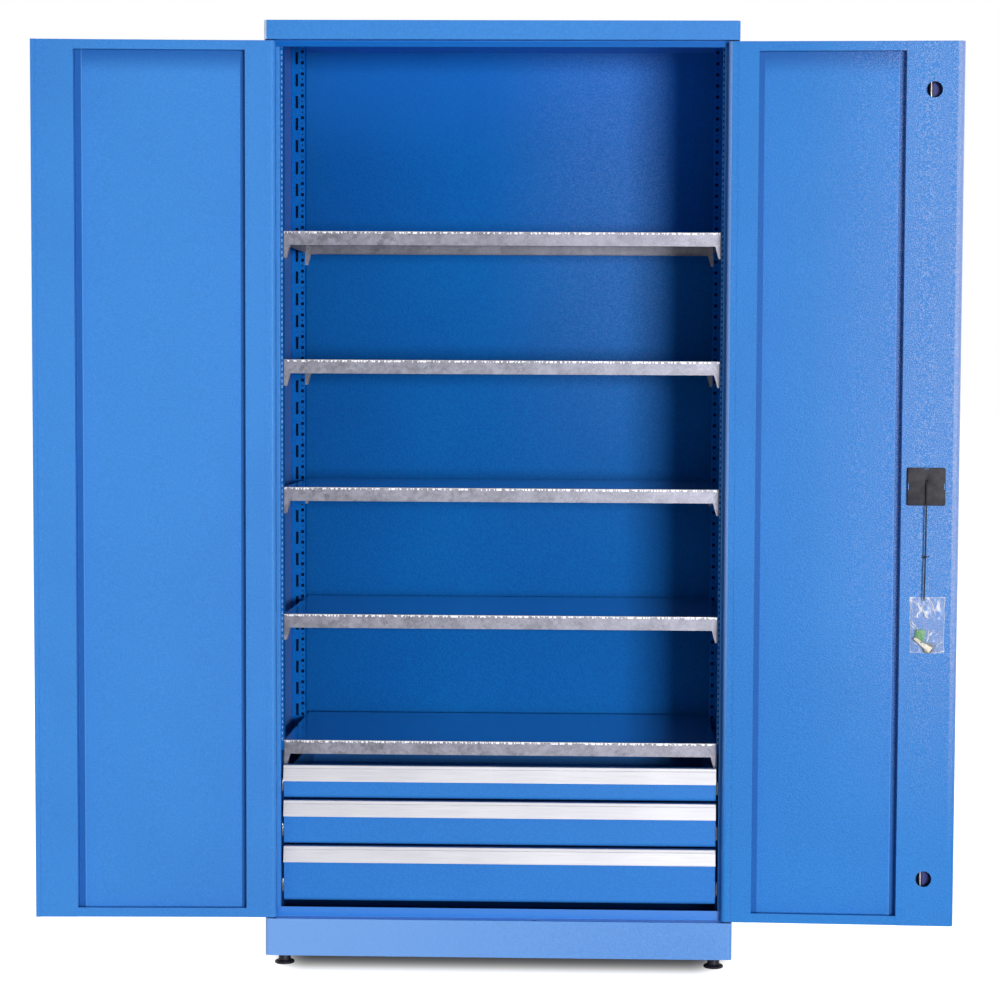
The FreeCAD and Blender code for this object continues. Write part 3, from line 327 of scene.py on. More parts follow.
@dataclass(frozen=True)
class PowderCoat(Finish):
    """Blue powder coat with a fine orange-peel grain and pale specks, painted highlights for its sparkle."""

    deep: Colour = (0.046, 0.236, 0.680)
    light: Colour = (0.058, 0.294, 0.795)
    sparkle_fleck: Colour = (0.26, 0.44, 0.86)
    sparkle_flecks: float = 0.07
    grain: float = 0.0036
    drift: float = 0.45
    peel: float = 0.0008
    gloss: float = 0.30
    specular: float = 0.13

    def mix(self, graph: Graph) -> None:
        """Grain tints the coat, roughens it and stands out as bump.

        Args:
            graph: the finish's nodes.
        """
        peel = graph.noise(self.grain, 2.0)
        fine = graph.noise(self.grain * 0.42, 1.0)
        drift = graph.noise(self.drift, 2.0)
        height = peel * 0.7 + fine * 0.3
        tone = (peel.step(0.30, 0.72) * 0.65 + drift.step(0.3, 0.7) * 0.35).held()
        # Painted highlight: pale specks that stand for the glints of the textured coat.
        sparkle_speck = graph.noise(self.grain * 0.72, 1.0).step(0.56, 0.68) * self.sparkle_flecks
        coat = graph.mix(sparkle_speck, graph.mix(tone, self.deep, self.light), self.sparkle_fleck)
        graph.surface(
            Base_Color=self.touched(graph, coat),
            Roughness=self.gloss + fine * 0.16,
            Specular_IOR_Level=self.specular,
            Normal=graph.bump(height, self.peel, 0.8),
        )

    def touched(self, graph: Graph, coat: Signal) -> Signal:
        """The coat's colour as it is; a coat with zones of its own changes it."""
        return coat


@dataclass(frozen=True)
class ZonedCoat(PowderCoat):
    """Powder coat with painted light inside a box: painted shade low on the front posts, a painted sheen on
    the left side.
    """

    low: Point = (-1.0, -1.0, 0.0)
    high: Point = (1.0, 1.0, 3.0)
    tone: Colour = (0.003, 0.135, 0.50)
    soft: float = 0.0002

    def touched(self, graph: Graph, coat: Signal) -> Signal:
        """The coat's colour outside the box and the painted-light tone inside it.

        Args:
            graph: the finish's nodes.
            coat: the coat's colour.

        Returns:
            The colour with its zone.
        """
        inside = 1.0 - graph.noise(0.05, 2.0, (1.0, 1.0, 0.1)) * 0.3
        for place, low, high in zip(graph.axes(), self.low, self.high):
            inside = inside * place.past(low, self.soft) * place.short_of(high, self.soft)
        # Inside the box the coat takes the painted tone: shade on the front posts, a grazing sheen on the
        # left side.
        return graph.mix(inside, coat, self.tone)


@dataclass(frozen=True)
class RoofCoat(PowderCoat):
    """The roof's coat: painted shade on the lip under the front band, a painted highlight on its left front
    corner.
    """

    lip: Colour = (0.001, 0.135, 0.50)
    lip_z: float = 1.9824
    glint: Colour = (0.80, 0.88, 1.0)
    glints: float = 0.8
    corner: Pair = (-0.5016, -0.4974)
    front: float = -0.2440

    def touched(self, graph: Graph, coat: Signal) -> Signal:
        """The coat's colour on the band, the lip and the corner.

        Args:
            graph: the finish's nodes.
            coat: the coat's colour.

        Returns:
            The colour with lip and corner.
        """
        across, along, up = graph.axes()
        low, high = self.corner
        # Painted highlight where the left front corner catches light.
        corner = across.past(low, soft=0.0005) * across.short_of(high, soft=0.0008)
        corner = corner * along.short_of(self.front, soft=0.001)
        coat = graph.mix(corner * self.glints, coat, self.glint)
        # Painted shade on the lip under the front band.
        return graph.mix(up.short_of(self.lip_z, soft=0.0002), coat, self.lip)


@dataclass(frozen=True)
class PlinthCoat(PowderCoat):
    """The plinth's coat: painted light growing towards the left end, deeper on the sill behind the doors."""

    half: float = 0.5
    pale: Colour = (0.17, 0.40, 0.88)
    painted_light_share: float = 0.85
    sill: Colour = (0.006, 0.200, 0.680)
    sill_z: float = 0.1035

    def touched(self, graph: Graph, coat: Signal) -> Signal:
        """The coat's colour along the plinth and on its sill.

        Args:
            graph: the finish's nodes.
            coat: the coat's colour.

        Returns:
            The colour with its painted light and sill.
        """
        across, _, up = graph.axes()
        # Painted light: the coat grows paler towards the plinth's left end.
        coat = graph.mix(across.step(self.half, -self.half) * self.painted_light_share, coat, self.pale)
        return graph.mix(up.past(self.sill_z, soft=0.0005), coat, self.sill)


@dataclass(frozen=True)
class BackCoat(PowderCoat):
    """The back's coat: painted shade to the left, painted light on top, a painted sparkling lamp sheen at
    the upper right, plain blue outside.
    """

    left_shade: Colour = (0.0002, 0.045, 0.200)
    left_shade_share: float = 0.32
    left_shade_x: Pair = (-0.10, -0.47)
    bright: Colour = (0.014, 0.190, 0.680)
    brightened: float = 0.42
    bright_z: Pair = (1.72, 1.99)
    lamp_sheen: Colour = (0.27, 0.42, 0.85)
    amount: float = 0.22
    haze_start: Pair = (-0.10, 0.30)
    haze_end: Pair = (0.41, 0.33)
    haze_z: Pair = (0.80, 1.75)
    outer: Colour = (0.052, 0.262, 0.735)
    outer_share: float = 0.9
    outer_y: float = 0.2470

    def touched(self, graph: Graph, coat: Signal) -> Signal:
        """The coat's colour with its painted shade and light, its painted sheen and its outer face.

        Args:
            graph: the finish's nodes.
            coat: the coat's colour.

        Returns:
            The touched colour.
        """
        across, along, up = graph.axes()
        sparkle_speck = graph.noise(0.0021, 0.5).step(0.40, 0.70) * 0.8 + 0.3
        zone = across.step(*self.haze_start) * across.step(*self.haze_end) * up.step(*self.haze_z)
        # Painted shade towards the left, painted light on top, then the painted lamp sheen at the upper
        # right.
        coat = graph.mix(across.step(*self.left_shade_x) * self.left_shade_share, coat, self.left_shade)
        coat = graph.mix(up.step(*self.bright_z) * self.brightened, coat, self.bright)
        coat = graph.mix((zone * sparkle_speck * self.amount).held(), coat, self.lamp_sheen)
        return graph.mix(along.past(self.outer_y, soft=0.0001) * self.outer_share, coat, self.outer)


@dataclass(frozen=True)
class DoorCoat(PowderCoat):
    """A door's coat with painted shade along its stiles and a painted highlight line; the right one has a
    painted lamp sheen and a dark patch behind its access holes.
    """

    side: int = 1
    inner: float = -0.0115
    panel: Point = (0.0653, 0.3487, 1.961)
    shade: Colour = (0.003, 0.080, 0.350)
    shaded: float = 0.66
    shade_drop: float = 0.055
    crease: Colour = (0.20, 0.45, 0.88)
    crease_highlight_share: float = 0.30
    lamp_sheen: Colour = (0.45, 0.52, 0.80)
    sheen_and_patch: float = 0.0
    haze_z: Pair = (0.20, 0.95)
    haze_reach: Pair = (0.10, 0.46)
    free_edge_glint: Pair = (0.4665, 0.4695)
    hinge_edge_glint: Pair = (-0.0030, -0.0045)
    hole_patch: Colour = (0.05, 0.06, 0.24)
    hole_at: float = 0.419
    holes: Pair = (1.879, 0.207)
    spot: float = 0.034

    def touched(self, graph: Graph, coat: Signal) -> Signal:
        """The coat's colour with painted shade, painted highlights and sheen, and the patch behind the
        holes, worked out in the open door's own frame.

        Args:
            graph: the finish's nodes.
            coat: the coat's colour.

        Returns:
            The touched colour.
        """
        across, along, up = graph.axes()
        across, along = across * self.side - HINGE[0], along - HINGE[1]
        cosine, sine = math.cos(OPENING), math.sin(OPENING)
        reach = across * -cosine - along * sine
        depth = along * cosine - across * sine
        within = depth.past(self.inner, soft=0.0002) * depth.step(0.0, -0.002)
        start, end, top = self.panel
        # Painted shade on the feet of the stiles and under the top rail.
        near = reach.past(end, soft=0.0006).at_least(reach.short_of(start, soft=0.0006))
        near = near.at_least(up.step(top - self.shade_drop, top)) * within
        # Painted highlight: a pale line along the lock stile's foot.
        line = reach.step(end - 0.0030, end - 0.0015) * reach.short_of(end, soft=0.0004) * within
        coat = graph.mix(near * self.shaded, coat, self.shade)
        coat = graph.mix(line * self.crease_highlight_share, coat, self.crease)
        # Painted lamp sheen on the right door's face, with painted highlights on its rolled edges.
        lamp = up.step(*self.haze_z) * depth.step(self.inner - 0.0004, self.inner + 0.0001) * self.sheen_and_patch
        rim = reach.step(*self.free_edge_glint) * 0.85 + reach.step(*self.hinge_edge_glint) * 0.70
        sheen_wash = reach.step(*self.haze_reach) * 0.45 + reach.past(end, soft=0.003) * 0.15
        sparkle_speck = graph.noise(0.0024, 2.0).step(0.44, 0.68)
        coat = graph.mix((sheen_wash * lamp * sparkle_speck).held(), coat, self.lamp_sheen)
        coat = graph.mix((rim * lamp * (0.45 + sparkle_speck * 0.25)).held(), coat, self.lamp_sheen)
        # A dark bluish patch behind each access hole of the right door.
        upper, lower = (up - self.holes[0]).squared(), (up - self.holes[1]).squared()
        spot = (reach - self.hole_at).squared() + upper.at_most(lower)
        behind_holes = spot.step(self.spot ** 2 * 1.2, self.spot ** 2) * within * self.sheen_and_patch
        return graph.mix(behind_holes, coat, self.hole_patch)


@dataclass(frozen=True)
class GalvanisedSheet(Finish):
    """Hot-dip galvanised sheet with spangle, and a bright ragged line on the folded front edge."""

    dull: Colour = (0.11, 0.111, 0.134)
    bright: Colour = (0.22, 0.222, 0.265)
    rolled: Colour = (0.62, 0.66, 0.74)
    sheared: Colour = (0.78, 0.78, 0.82)
    spangle: float = 0.009
    edge_top: float = 0.483
    edge_pitch: float = 0.275
    edge_front: float = -0.1955

    def mix(self, graph: Graph) -> None:
        """Crystals vary in tone and gloss; the sheared edge is blank metal.

        Args:
            graph: the finish's nodes.
        """
        crystals = graph.cells(self.spangle)
        small = graph.cells(self.spangle * 0.4)
        cloud = graph.noise(0.05, 3.0)
        flow = graph.noise(0.004, 2.0, (1.0, 1.0, 0.35))
        _, along, up = graph.axes()
        below = (self.edge_top + MILLIMETRE - up) % self.edge_pitch - MILLIMETRE
        rag = 0.0014 + flow.step(0.46, 0.58) * 0.0040
        edge = (rag - below).past(0.0, soft=0.0006) * along.step(self.edge_front + 0.003, self.edge_front)
        tone = (crystals * 0.45 + small * 0.30 + cloud.step(0.35, 0.65) * 0.35).held()
        flat = below.step(0.0009, 0.0004) * along.step(self.edge_front + 0.002, self.edge_front + 0.006)
        colour = graph.mix(flat, graph.mix(tone, self.dull, self.bright), self.rolled)
        graph.surface(
            Base_Color=graph.mix(edge, colour, self.sheared),
            Metallic=1.0 - edge * 0.5,
            Roughness=0.34 + crystals * 0.16 + cloud * 0.06 - flat * 0.27,
            Normal=graph.bump(small * 0.5 + cloud * 0.5, 0.00018, 0.5),
        )


@dataclass(frozen=True)
class SatinAluminium(Finish):
    """Anodised extrusion with drawing lines along its length."""

    pale: Colour = (0.66, 0.655, 0.70)
    shade: Colour = (0.545, 0.54, 0.585)

    def mix(self, graph: Graph) -> None:
        """Long streaks vary tone and gloss.

        Args:
            graph: the finish's nodes.
        """
        streak = graph.noise(0.0016, 3.0, (0.02, 1.0, 1.0))
        cloud = graph.noise(0.2, 2.0)
        graph.surface(
            Base_Color=graph.mix((streak * 0.6 + cloud * 0.4).step(0.3, 0.7), self.shade, self.pale),
            Metallic=0.35,
            Roughness=0.38 + streak * 0.14,
            Normal=graph.bump(streak, 0.00005, 0.5),
        )


@dataclass(frozen=True)
class PlatedSteel(Finish):
    """Bright plated steel, brushed along one axis."""

    pale: Colour = (0.78, 0.79, 0.81)
    shade: Colour = (0.52, 0.53, 0.56)
    gloss: float = 0.24
    brush: Point = (0.05, 1.0, 1.0)

    def mix(self, graph: Graph) -> None:
        """Drawing lines and faint clouding.

        Args:
            graph: the finish's nodes.
        """
        lines = graph.noise(0.0012, 2.0, self.brush)
        cloud = graph.noise(0.03, 3.0)
        graph.surface(
            Base_Color=graph.mix((lines * 0.5 + cloud * 0.5).step(0.3, 0.7), self.shade, self.pale),
            Metallic=1.0,
            Roughness=self.gloss + lines * 0.18,
            Normal=graph.bump(lines, 0.00004, 0.5),
        )


@dataclass(frozen=True)
class MouldedPlastic(Finish):
    """Moulded plastic with spark-eroded grain."""

    dark: Colour = (0.006, 0.006, 0.011)
    worn: Colour = (0.026, 0.023, 0.038)
    gloss: float = 0.48
    grain: float = 0.0011
    specular: float = 0.25

    def mix(self, graph: Graph) -> None:
        """Fine grain with slow patches of wear.

        Args:
            graph: the finish's nodes.
        """
        grain = graph.noise(self.grain, 1.0)
        patch = graph.noise(0.018, 3.0)
        graph.surface(
            Base_Color=graph.mix(patch.step(0.35, 0.75), self.dark, self.worn),
            Roughness=self.gloss + grain * 0.15 - patch * 0.08,
            Specular_IOR_Level=self.specular,
            Normal=graph.bump(grain, 0.00012, 0.6),
        )


@dataclass(frozen=True)
class LaidCord(Finish):
    """Black cord laid from twisted yarns."""

    dark: Colour = (0.004, 0.004, 0.005)
    worn: Colour = (0.022, 0.021, 0.024)
    lay: float = 0.0022
    slant: float = 1.6

    def mix(self, graph: Graph) -> None:
        """Slanting ridges run round the cord.

        Args:
            graph: the finish's nodes.
        """
        across, _, up = graph.axes()
        turn = ((up + across * self.slant) % self.lay / self.lay - 0.5) * 2.0
        ridge = 1.0 - turn.squared()
        fuzz = graph.noise(0.0008, 2.0)
        graph.surface(
            Base_Color=graph.mix(ridge * 0.6 + fuzz * 0.4, self.dark, self.worn),
            Roughness=0.75 + fuzz * 0.2,
            Normal=graph.bump(ridge * 0.8 + fuzz * 0.2, 0.0004, 0.8),
        )


@dataclass(frozen=True)
class ClearFilm(Finish):
    """Crumpled clear film: see-through, with painted white highlights along the creases and a whiter welded
    border, partly seam and partly painted highlight.
    """

    tint: Colour = (0.80, 0.85, 0.95)
    white: Colour = (1.0, 1.0, 1.0)
    crease: float = 0.026

    def mix(self, graph: Graph) -> None:
        """Painted highlights along the creases and the weld turn the film opaque and white there.

        Args:
            graph: the finish's nodes.
        """
        fold = graph.noise(self.crease, 1.0, (1.0, 1.0, 0.40))
        slant = graph.noise(self.crease * 1.3, 0.5, (0.8, 1.0, 1.0))
        patch = graph.noise(self.crease, 2.0).step(0.42, 0.62)
        line = 1.0 - ((fold - 0.5) * 42.0).squared().held()
        cross = 1.0 - ((slant - 0.52) * 60.0).squared().held()
        weld = graph.node("ShaderNodeAttribute", {"attribute_name": "weld"}).out("Fac")
        # Painted highlights: white streaks along creases, and on the welded border, where the seam also
        # whitens the film.
        glint = ((line + cross * 0.8) * patch + weld * (0.25 + fold.step(0.40, 0.60) * 0.75)).held()
        graph.surface(
            Base_Color=graph.mix(glint, self.tint, self.white),
            Roughness=0.12 + glint * 0.25,
            Alpha=0.09 + patch * 0.07 + glint * 0.62,
            Normal=graph.bump(fold * 0.6 + slant * 0.4, 0.002, 0.7),
        )


@dataclass(frozen=True)
class TintedPlastic(Finish):
    """Small coloured plastic pieces."""

    tint: Colour = (0.03, 0.30, 0.03)
    shade: Colour = (0.015, 0.17, 0.02)

    def mix(self, graph: Graph) -> None:
        """Slight clouding and scuffs.

        Args:
            graph: the finish's nodes.
        """
        cloud = graph.noise(0.008, 3.0)
        graph.surface(
            Base_Color=graph.mix(cloud.step(0.3, 0.7), self.shade, self.tint),
            Roughness=0.32 + cloud * 0.2,
            Normal=graph.bump(cloud, 0.0002, 0.4),
        )


@dataclass(frozen=True)
class PunchedHole(Finish):
    """The unlit room behind a punched hole, with the coat's blue on its sheared edge."""

    dark: Colour = (0.0005, 0.003, 0.014)
    edge: Colour = (0.002, 0.02, 0.09)

    def mix(self, graph: Graph) -> None:
        """Nearly black, a little lighter in blots.

        Args:
            graph: the finish's nodes.
        """
        blot = graph.noise(0.004, 2.0)
        graph.surface(
            Base_Color=graph.mix(blot.step(0.4, 0.8), self.dark, self.edge),
            Roughness=0.9 + blot * 0.1,
            Specular_IOR_Level=0.1,
        )


class Palette:
    """The cabinet's finishes."""

    # Painted shade: a darker copy of the coat for the surfaces inside the carcass.
    SHADED_INSIDE = {"deep": (0.0003, 0.102, 0.415), "light": (0.0005, 0.149, 0.510),
              "sparkle_flecks": 0.02, "specular": 0.05}
    COAT = PowderCoat("side_coat")
    LEFT_DOOR = DoorCoat("left_door_coat", side=-1, panel=(0.0653, 0.4028, 1.961))
    # The right door's base is a darker copy of the coat: painted shade against the lamp's sheen on it.
    RIGHT_DOOR = DoorCoat("right_door_coat", deep=(0.024, 0.200, 0.620), light=(0.032, 0.254, 0.735),
                          sheen_and_patch=1.0)
    FRAME = PowderCoat("frame_coat", deep=(0.030, 0.205, 0.635), light=(0.040, 0.250, 0.735), peel=0.0005,
                       sparkle_flecks=0.03)
    ROOF = RoofCoat("roof_coat", peel=0.0005, sparkle_flecks=0.04)
    # The left side's inner face takes a greyer tone: a painted grazing reflection.
    SIDE = ZonedCoat("left_side_coat", low=(-0.5010, -0.17, 0.0), high=(-0.47, 0.16, 3.0),
                     tone=(0.100, 0.210, 0.57))
    PLINTH = PlinthCoat("plinth_coat", deep=(0.045, 0.220, 0.64), light=(0.08, 0.31, 0.80), peel=0.0004,
                        gloss=0.22, sparkle_flecks=0.05, specular=0.8)
    INNER = PowderCoat("inner_coat", gloss=0.42, **SHADED_INSIDE)
    BACK = BackCoat("back_coat", gloss=0.40, **SHADED_INSIDE)
    # Front posts: painted shade inside, and a near-black painted shadow low down beside the drawers.
    POST = ZonedCoat("post_coat", gloss=0.42, high=(1.0, 1.0, 0.462), tone=(0.0005, 0.010, 0.05), **SHADED_INSIDE)
    GALVANISED = GalvanisedSheet("galvanised_sheet")
    GRIP = SatinAluminium("satin_grip")
    ZINC = PlatedSteel("zinc_plate")
    DULL_ZINC = PlatedSteel("dull_zinc", pale=(0.34, 0.34, 0.38), shade=(0.16, 0.16, 0.19), gloss=0.2)
    BLACKED = PlatedSteel("blacked_steel", pale=(0.05, 0.05, 0.055), shade=(0.02, 0.02, 0.024), gloss=0.35)
    NICKEL = PlatedSteel("nickel_plate", pale=(0.82, 0.80, 0.76), shade=(0.62, 0.60, 0.57), gloss=0.12)
    PLASTIC = MouldedPlastic("black_moulding")
    NYLON = MouldedPlastic("nylon_bush", dark=(0.62, 0.61, 0.56), worn=(0.72, 0.71, 0.67))
    CORD = LaidCord("laid_cord")
    FILM = ClearFilm("clear_film")
    TAG = TintedPlastic("green_tag_plastic")
    CREAM = TintedPlastic("cream_key_cap", tint=(0.85, 0.81, 0.70), shade=(0.66, 0.62, 0.50))
    KEY = PlatedSteel("key_plate", pale=(0.20, 0.195, 0.18), shade=(0.08, 0.078, 0.07), gloss=0.45,
                      brush=(1.0, 1.0, 0.08))
    HOLE = PunchedHole("punched_hole")
    # Pale blue: painted highlights on the front posts' hole edges, and the door's blue seen through the
    # cover's slots.
    GLINT_AND_SLOT_BLUE = PowderCoat("sheared_edge", deep=(0.06, 0.24, 0.64), light=(0.28, 0.48, 0.86))


class Bench:
    """Hand modelling steps that the sub-assemblies share."""

    @staticmethod
    def clear() -> None:
        """Leaves object mode with nothing selected."""
        if bpy.context.object is not None and bpy.context.object.mode != "OBJECT":
            bpy.ops.object.mode_set(mode="OBJECT")
        bpy.ops.object.select_all(action="DESELECT")

    @staticmethod
    def named(name: str) -> bpy.types.Object:
        """Names the piece that was just made.

        Args:
            name: its name.

        Returns:
            The piece.
        """
        made = bpy.context.object
        made.name = name
        made.data.name = name
        return made

    @staticmethod
    def active(obj: bpy.types.Object) -> None:
        """Makes one object the only one selected.

        Args:
            obj: the object.
        """
        Bench.clear()
        obj.select_set(True)
        bpy.context.view_layer.objects.active = obj

    @staticmethod
    def edit_faces(obj: bpy.types.Object, test: Test = lambda centre, normal: True) -> None:
        """Enters edit mode with the faces selected that pass a test.

        Args:
            obj: the piece.
            test: gets a face's centre and normal; without one all faces pass.
        """
        Bench.active(obj)
        bpy.ops.object.mode_set(mode="EDIT")
        bpy.ops.mesh.select_mode(type="FACE")
        bpy.ops.mesh.select_all(action="DESELECT")
        bpy.ops.object.mode_set(mode="OBJECT")
        for face in obj.data.polygons:
            face.select = test(face.center, face.normal)
        bpy.ops.object.mode_set(mode="EDIT")

    @staticmethod
    def done() -> None:
        """Leaves edit mode."""
        bpy.ops.object.mode_set(mode="OBJECT")

    @staticmethod
    def apply() -> None:
        """Puts the active piece's place, turn and scale into its mesh."""
        bpy.ops.object.transform_apply(location=True, rotation=True, scale=True)

    @staticmethod
    def modify(obj: bpy.types.Object, kind: str, **settings: object) -> None:
        """Adds a modifier and applies it.

        Args:
            obj: the piece.
            kind: the modifier's type.
            settings: its properties.
        """
        Bench.active(obj)
        made = obj.modifiers.new(kind.lower(), kind)
        for key, value in settings.items():
            setattr(made, key, value)
        bpy.ops.object.modifier_apply(modifier=made.name)

    @staticmethod
    def soften(obj: bpy.types.Object, width: float, segments: int) -> None:
        """Rounds a piece's sharp edges."""
        Bench.modify(obj, "BEVEL", width=width, segments=segments, limit_method="ANGLE",
                     angle_limit=SHARP_EDGE)

    @staticmethod
    def drill(obj: bpy.types.Object, spot: Point, radius: float, sides: int) -> None:
        """Bores a hole through a flat piece, from front to back.

        Args:
            obj: the piece.
            spot: middle of the hole.
            radius: half the hole's width.
            sides: flats of its wall.
        """
        bpy.ops.mesh.primitive_cylinder_add(vertices=sides, radius=radius, depth=BIT_LENGTH, location=spot,
                                            rotation=(UPRIGHT, 0.0, 0.0))
        bit = Bench.named("drill")
        Bench.modify(obj, "BOOLEAN", operation="DIFFERENCE", object=bit)
        bpy.data.objects.remove(bit)

    @staticmethod
    def tile(name: str, spot: Point, size: Pair, finish: Finish, rim: Pair, back: float,
             turn: float = UPRIGHT, sides: int = 4) -> bpy.types.Object:
        """A thin upright plate with a rim round its middle.

        Args:
            name: the piece's name.
            spot: middle of its face.
            size: width and height.
            finish: its finish.
            rim: the rim's width, and how far the middle stands out of it.
            back: how far the plate's back lies behind its face.
            turn: turn about X from lying face up.
            sides: 4 for a rectangle, more for a round plate.

        Returns:
            The plate.
        """
        Bench.clear()
        if sides == 4:
            bpy.ops.mesh.primitive_plane_add(size=1.0, location=spot, rotation=(turn, 0.0, 0.0))
        else:
            bpy.ops.mesh.primitive_circle_add(vertices=sides, radius=0.5, fill_type="NGON", location=spot,
                                              rotation=(turn, 0.0, 0.0))
        tile = Bench.named(name)
        tile.scale = (*size, 1.0)
        tile.data.materials.append(finish.material())
        Bench.apply()
        Bench.edit_faces(tile)
        bpy.ops.mesh.inset(thickness=rim[0], depth=rim[1])
        Bench.done()
        Bench.modify(tile, "SOLIDIFY", thickness=back, offset=-1.0)
        return tile

    @staticmethod
    def join(pieces: Sequence[bpy.types.Object], name: str) -> bpy.types.Object:
        """Makes one object of several.

        Args:
            pieces: the objects, each with its material.
            name: name of the result.

        Returns:
            The joined object.
        """
        Bench.active(pieces[0])
        for piece in pieces[1:]:
            piece.select_set(True)
        bpy.ops.object.join()
        return Bench.named(name)

    @staticmethod
    def settle(obj: bpy.types.Object, body: str, slot: Slot, smooth: float = 35.0) -> bpy.types.Object:
        """Puts a piece's place into its mesh and fastens it to a body.

        Args:
            obj: the piece.
            body: name of the body that it rides on.
            slot: the record's material slot; not used.
            smooth: edges flatter than this many degrees are shaded smooth.

        Returns:
            The piece.
        """
        Bench.active(obj)
        Bench.apply()
        bpy.ops.object.shade_smooth_by_angle(angle=math.radians(smooth))
        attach(obj, body)
        log.info("%s rides on %s", obj.name, body)
        return obj

    @staticmethod
    def twin(obj: bpy.types.Object, name: str, shift: Point) -> bpy.types.Object:
        """Copies a piece, with its own mesh.

        Args:
            obj: the piece to copy.
            name: the copy's name.
            shift: how far the copy lies from it.

        Returns:
            The copy.
        """
        Bench.active(obj)
        bpy.ops.object.duplicate(linked=False)
        copy = Bench.named(name)
        bpy.ops.transform.translate(value=shift)
        return copy


def rounded(node: str, body: Body, finish: Finish, slot: Slot, edge: float) -> None:
    """Replaces a CAD node by a copy with softly rounded edges.

    Args:
        node: the CAD node.
        body: the body that it rides on.
        finish: its finish.
        slot: the record's material slot.
        edge: width of the rounding.
    """
    Bench.clear()
    copy = bpy.data.objects.new(node + "_rounded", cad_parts[node].data.copy())
    bpy.context.scene.collection.objects.link(copy)
    copy.data.materials.clear()
    copy.data.materials.append(finish.material())
    Bench.edit_faces(copy)
    bpy.ops.mesh.remove_doubles(threshold=1e-6)
    bpy.ops.mesh.dissolve_limited(angle_limit=math.radians(2.0))
    Bench.done()
    Bench.soften(copy, edge, 3)
    Bench.settle(copy, body.value, slot)
    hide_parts(node)


def paint(finish: Finish, nodes: Iterable[str]) -> None:
    """Gives CAD nodes a finish.

    Args:
        finish: the finish.
        nodes: names of the nodes.
    """
    for name in nodes:
        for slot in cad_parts[name].material_slots:
            slot.material = finish.material()
        log.info("%s is finished in %s", name, finish.name)


@dataclass
class DoorPlane:
    """The right door's own frame: X from the free edge to the hinge, Y out of its inner face."""

    hinge: Point = (*HINGE, 0.0)

    def matrix(self) -> Matrix:
        """From the door's frame to the cabinet's."""
        return Matrix.Translation(Vector(self.hinge)) @ Matrix.Rotation(OPENING, 4, "Z")

    def spot(self, point: Sequence[float]) -> Vector:
        """A point of the door's frame, in the cabinet's."""
        return self.matrix() @ Vector(point)

    def hang(self, obj: bpy.types.Object) -> None:
        """Moves a piece that was modelled in the door's frame to its place."""
        obj.matrix_world = self.matrix() @ obj.matrix_world


@dataclass
class Carcass:
    """Roof, plinth, sides, back and floor, with the small steel pieces fixed to them."""

    def dress(self) -> None:
        """Finishes the fixed nodes."""
        paint(Palette.ROOF, ["roof_cap"])
        paint(Palette.PLINTH, ["plinth_front", "plinth_rails"])
        paint(Palette.SIDE, ["left_side_panel"])
        paint(Palette.COAT, ["right_side_panel"])
        paint(Palette.BACK, ["back_panel"])
        paint(Palette.INNER, ["floor_panel"])
        paint(Palette.BLACKED, ["hinge_pins"])
        paint(Palette.DULL_ZINC, ["foot_plates"])
        paint(Palette.ZINC, ["drawer_outer_rails"])


@dataclass(frozen=True)
class Row:
    """A row of equal small cut-outs up a left post, from the lowest one's place."""

    name: str
    spot: Point
    size: Pair
    rim: float
    pitch: float
    count: int
    finish: Finish = Palette.HOLE
    sides: int = 4


@dataclass
class Posts:
    """Slotted posts; the rows of small punched holes are modelled here as tiles of painted shade, with
    painted highlights on the front posts' hole edges.
    """

    pitch: float = 0.025
    first: float = 0.1365
    count: int = 76
    face_y: float = 0.160
    front_y: float = -0.204
    proud: float = 0.00025
    dish: float = 0.00015
    sunk: float = 0.0006
    hole: float = 0.007
    hole_x: float = 0.4748
    hole_rim: float = 0.00063
    dot: float = 0.0032
    dot_rim: float = 0.00048
    slot_x: float = 0.4875
    slot_first: float = 0.147
    slot_size: Pair = (0.0060, 0.0280)
    slot_rim: float = 0.0008
    edge_x: float = 0.4712
    edge_skip: int = 14
    edge_size: Pair = (0.0030, 0.0068)
    edge_rim: float = 0.0006

    def rows(self) -> list[Row]:
        """The cut-outs of the left posts.

        Returns:
            The painted highlights on the front post's hole edges, then the rear one's holes, dots and slot
            floors in painted shade.
        """
        face, front, half = self.face_y - self.proud, self.front_y - self.proud, self.pitch / 2
        lowest = self.first + self.edge_skip * self.pitch
        return [
            # Painted highlights: pale dashes where the front post's hole edges catch light.
            Row("front_left_post_edges", (-self.edge_x, front, lowest), self.edge_size, self.edge_rim,
                half, 2 * (self.count - self.edge_skip) - 1, Palette.GLINT_AND_SLOT_BLUE),
            Row("rear_left_post_holes", (-self.hole_x, face, self.first), (self.hole, self.hole),
                self.hole_rim, self.pitch, self.count),
            Row("rear_left_post_dots", (-self.hole_x, face, self.first + half), (self.dot, self.dot),
                self.dot_rim, self.pitch, self.count - 1, sides=10),
            Row("rear_left_post_slots", (-self.slot_x, face, self.slot_first), self.slot_size,
                self.slot_rim, 2 * self.pitch, self.count // 2),
        ]

    def build(self) -> None:
        """Models each row on its left post and copies it to the right one."""
        for row in self.rows():
            left = Bench.tile(row.name, row.spot, row.size, row.finish, (row.rim, -self.dish), self.sunk,
                              sides=row.sides)
            Bench.modify(left, "ARRAY", count=row.count, use_relative_offset=False, use_constant_offset=True,
                         constant_offset_displace=(0.0, 0.0, row.pitch))
            right = Bench.twin(left, row.name.replace("left", "right"), (-2 * row.spot[0], 0.0, 0.0))
            for piece in (left, right):
                Bench.settle(piece, Body.CARCASS.value, Slot.COAT)

    def dress(self) -> None:
        """Finishes the posts."""
        paint(Palette.POST, ["front_left_post", "front_right_post"])
        paint(Palette.INNER, ["rear_left_post", "rear_right_post"])


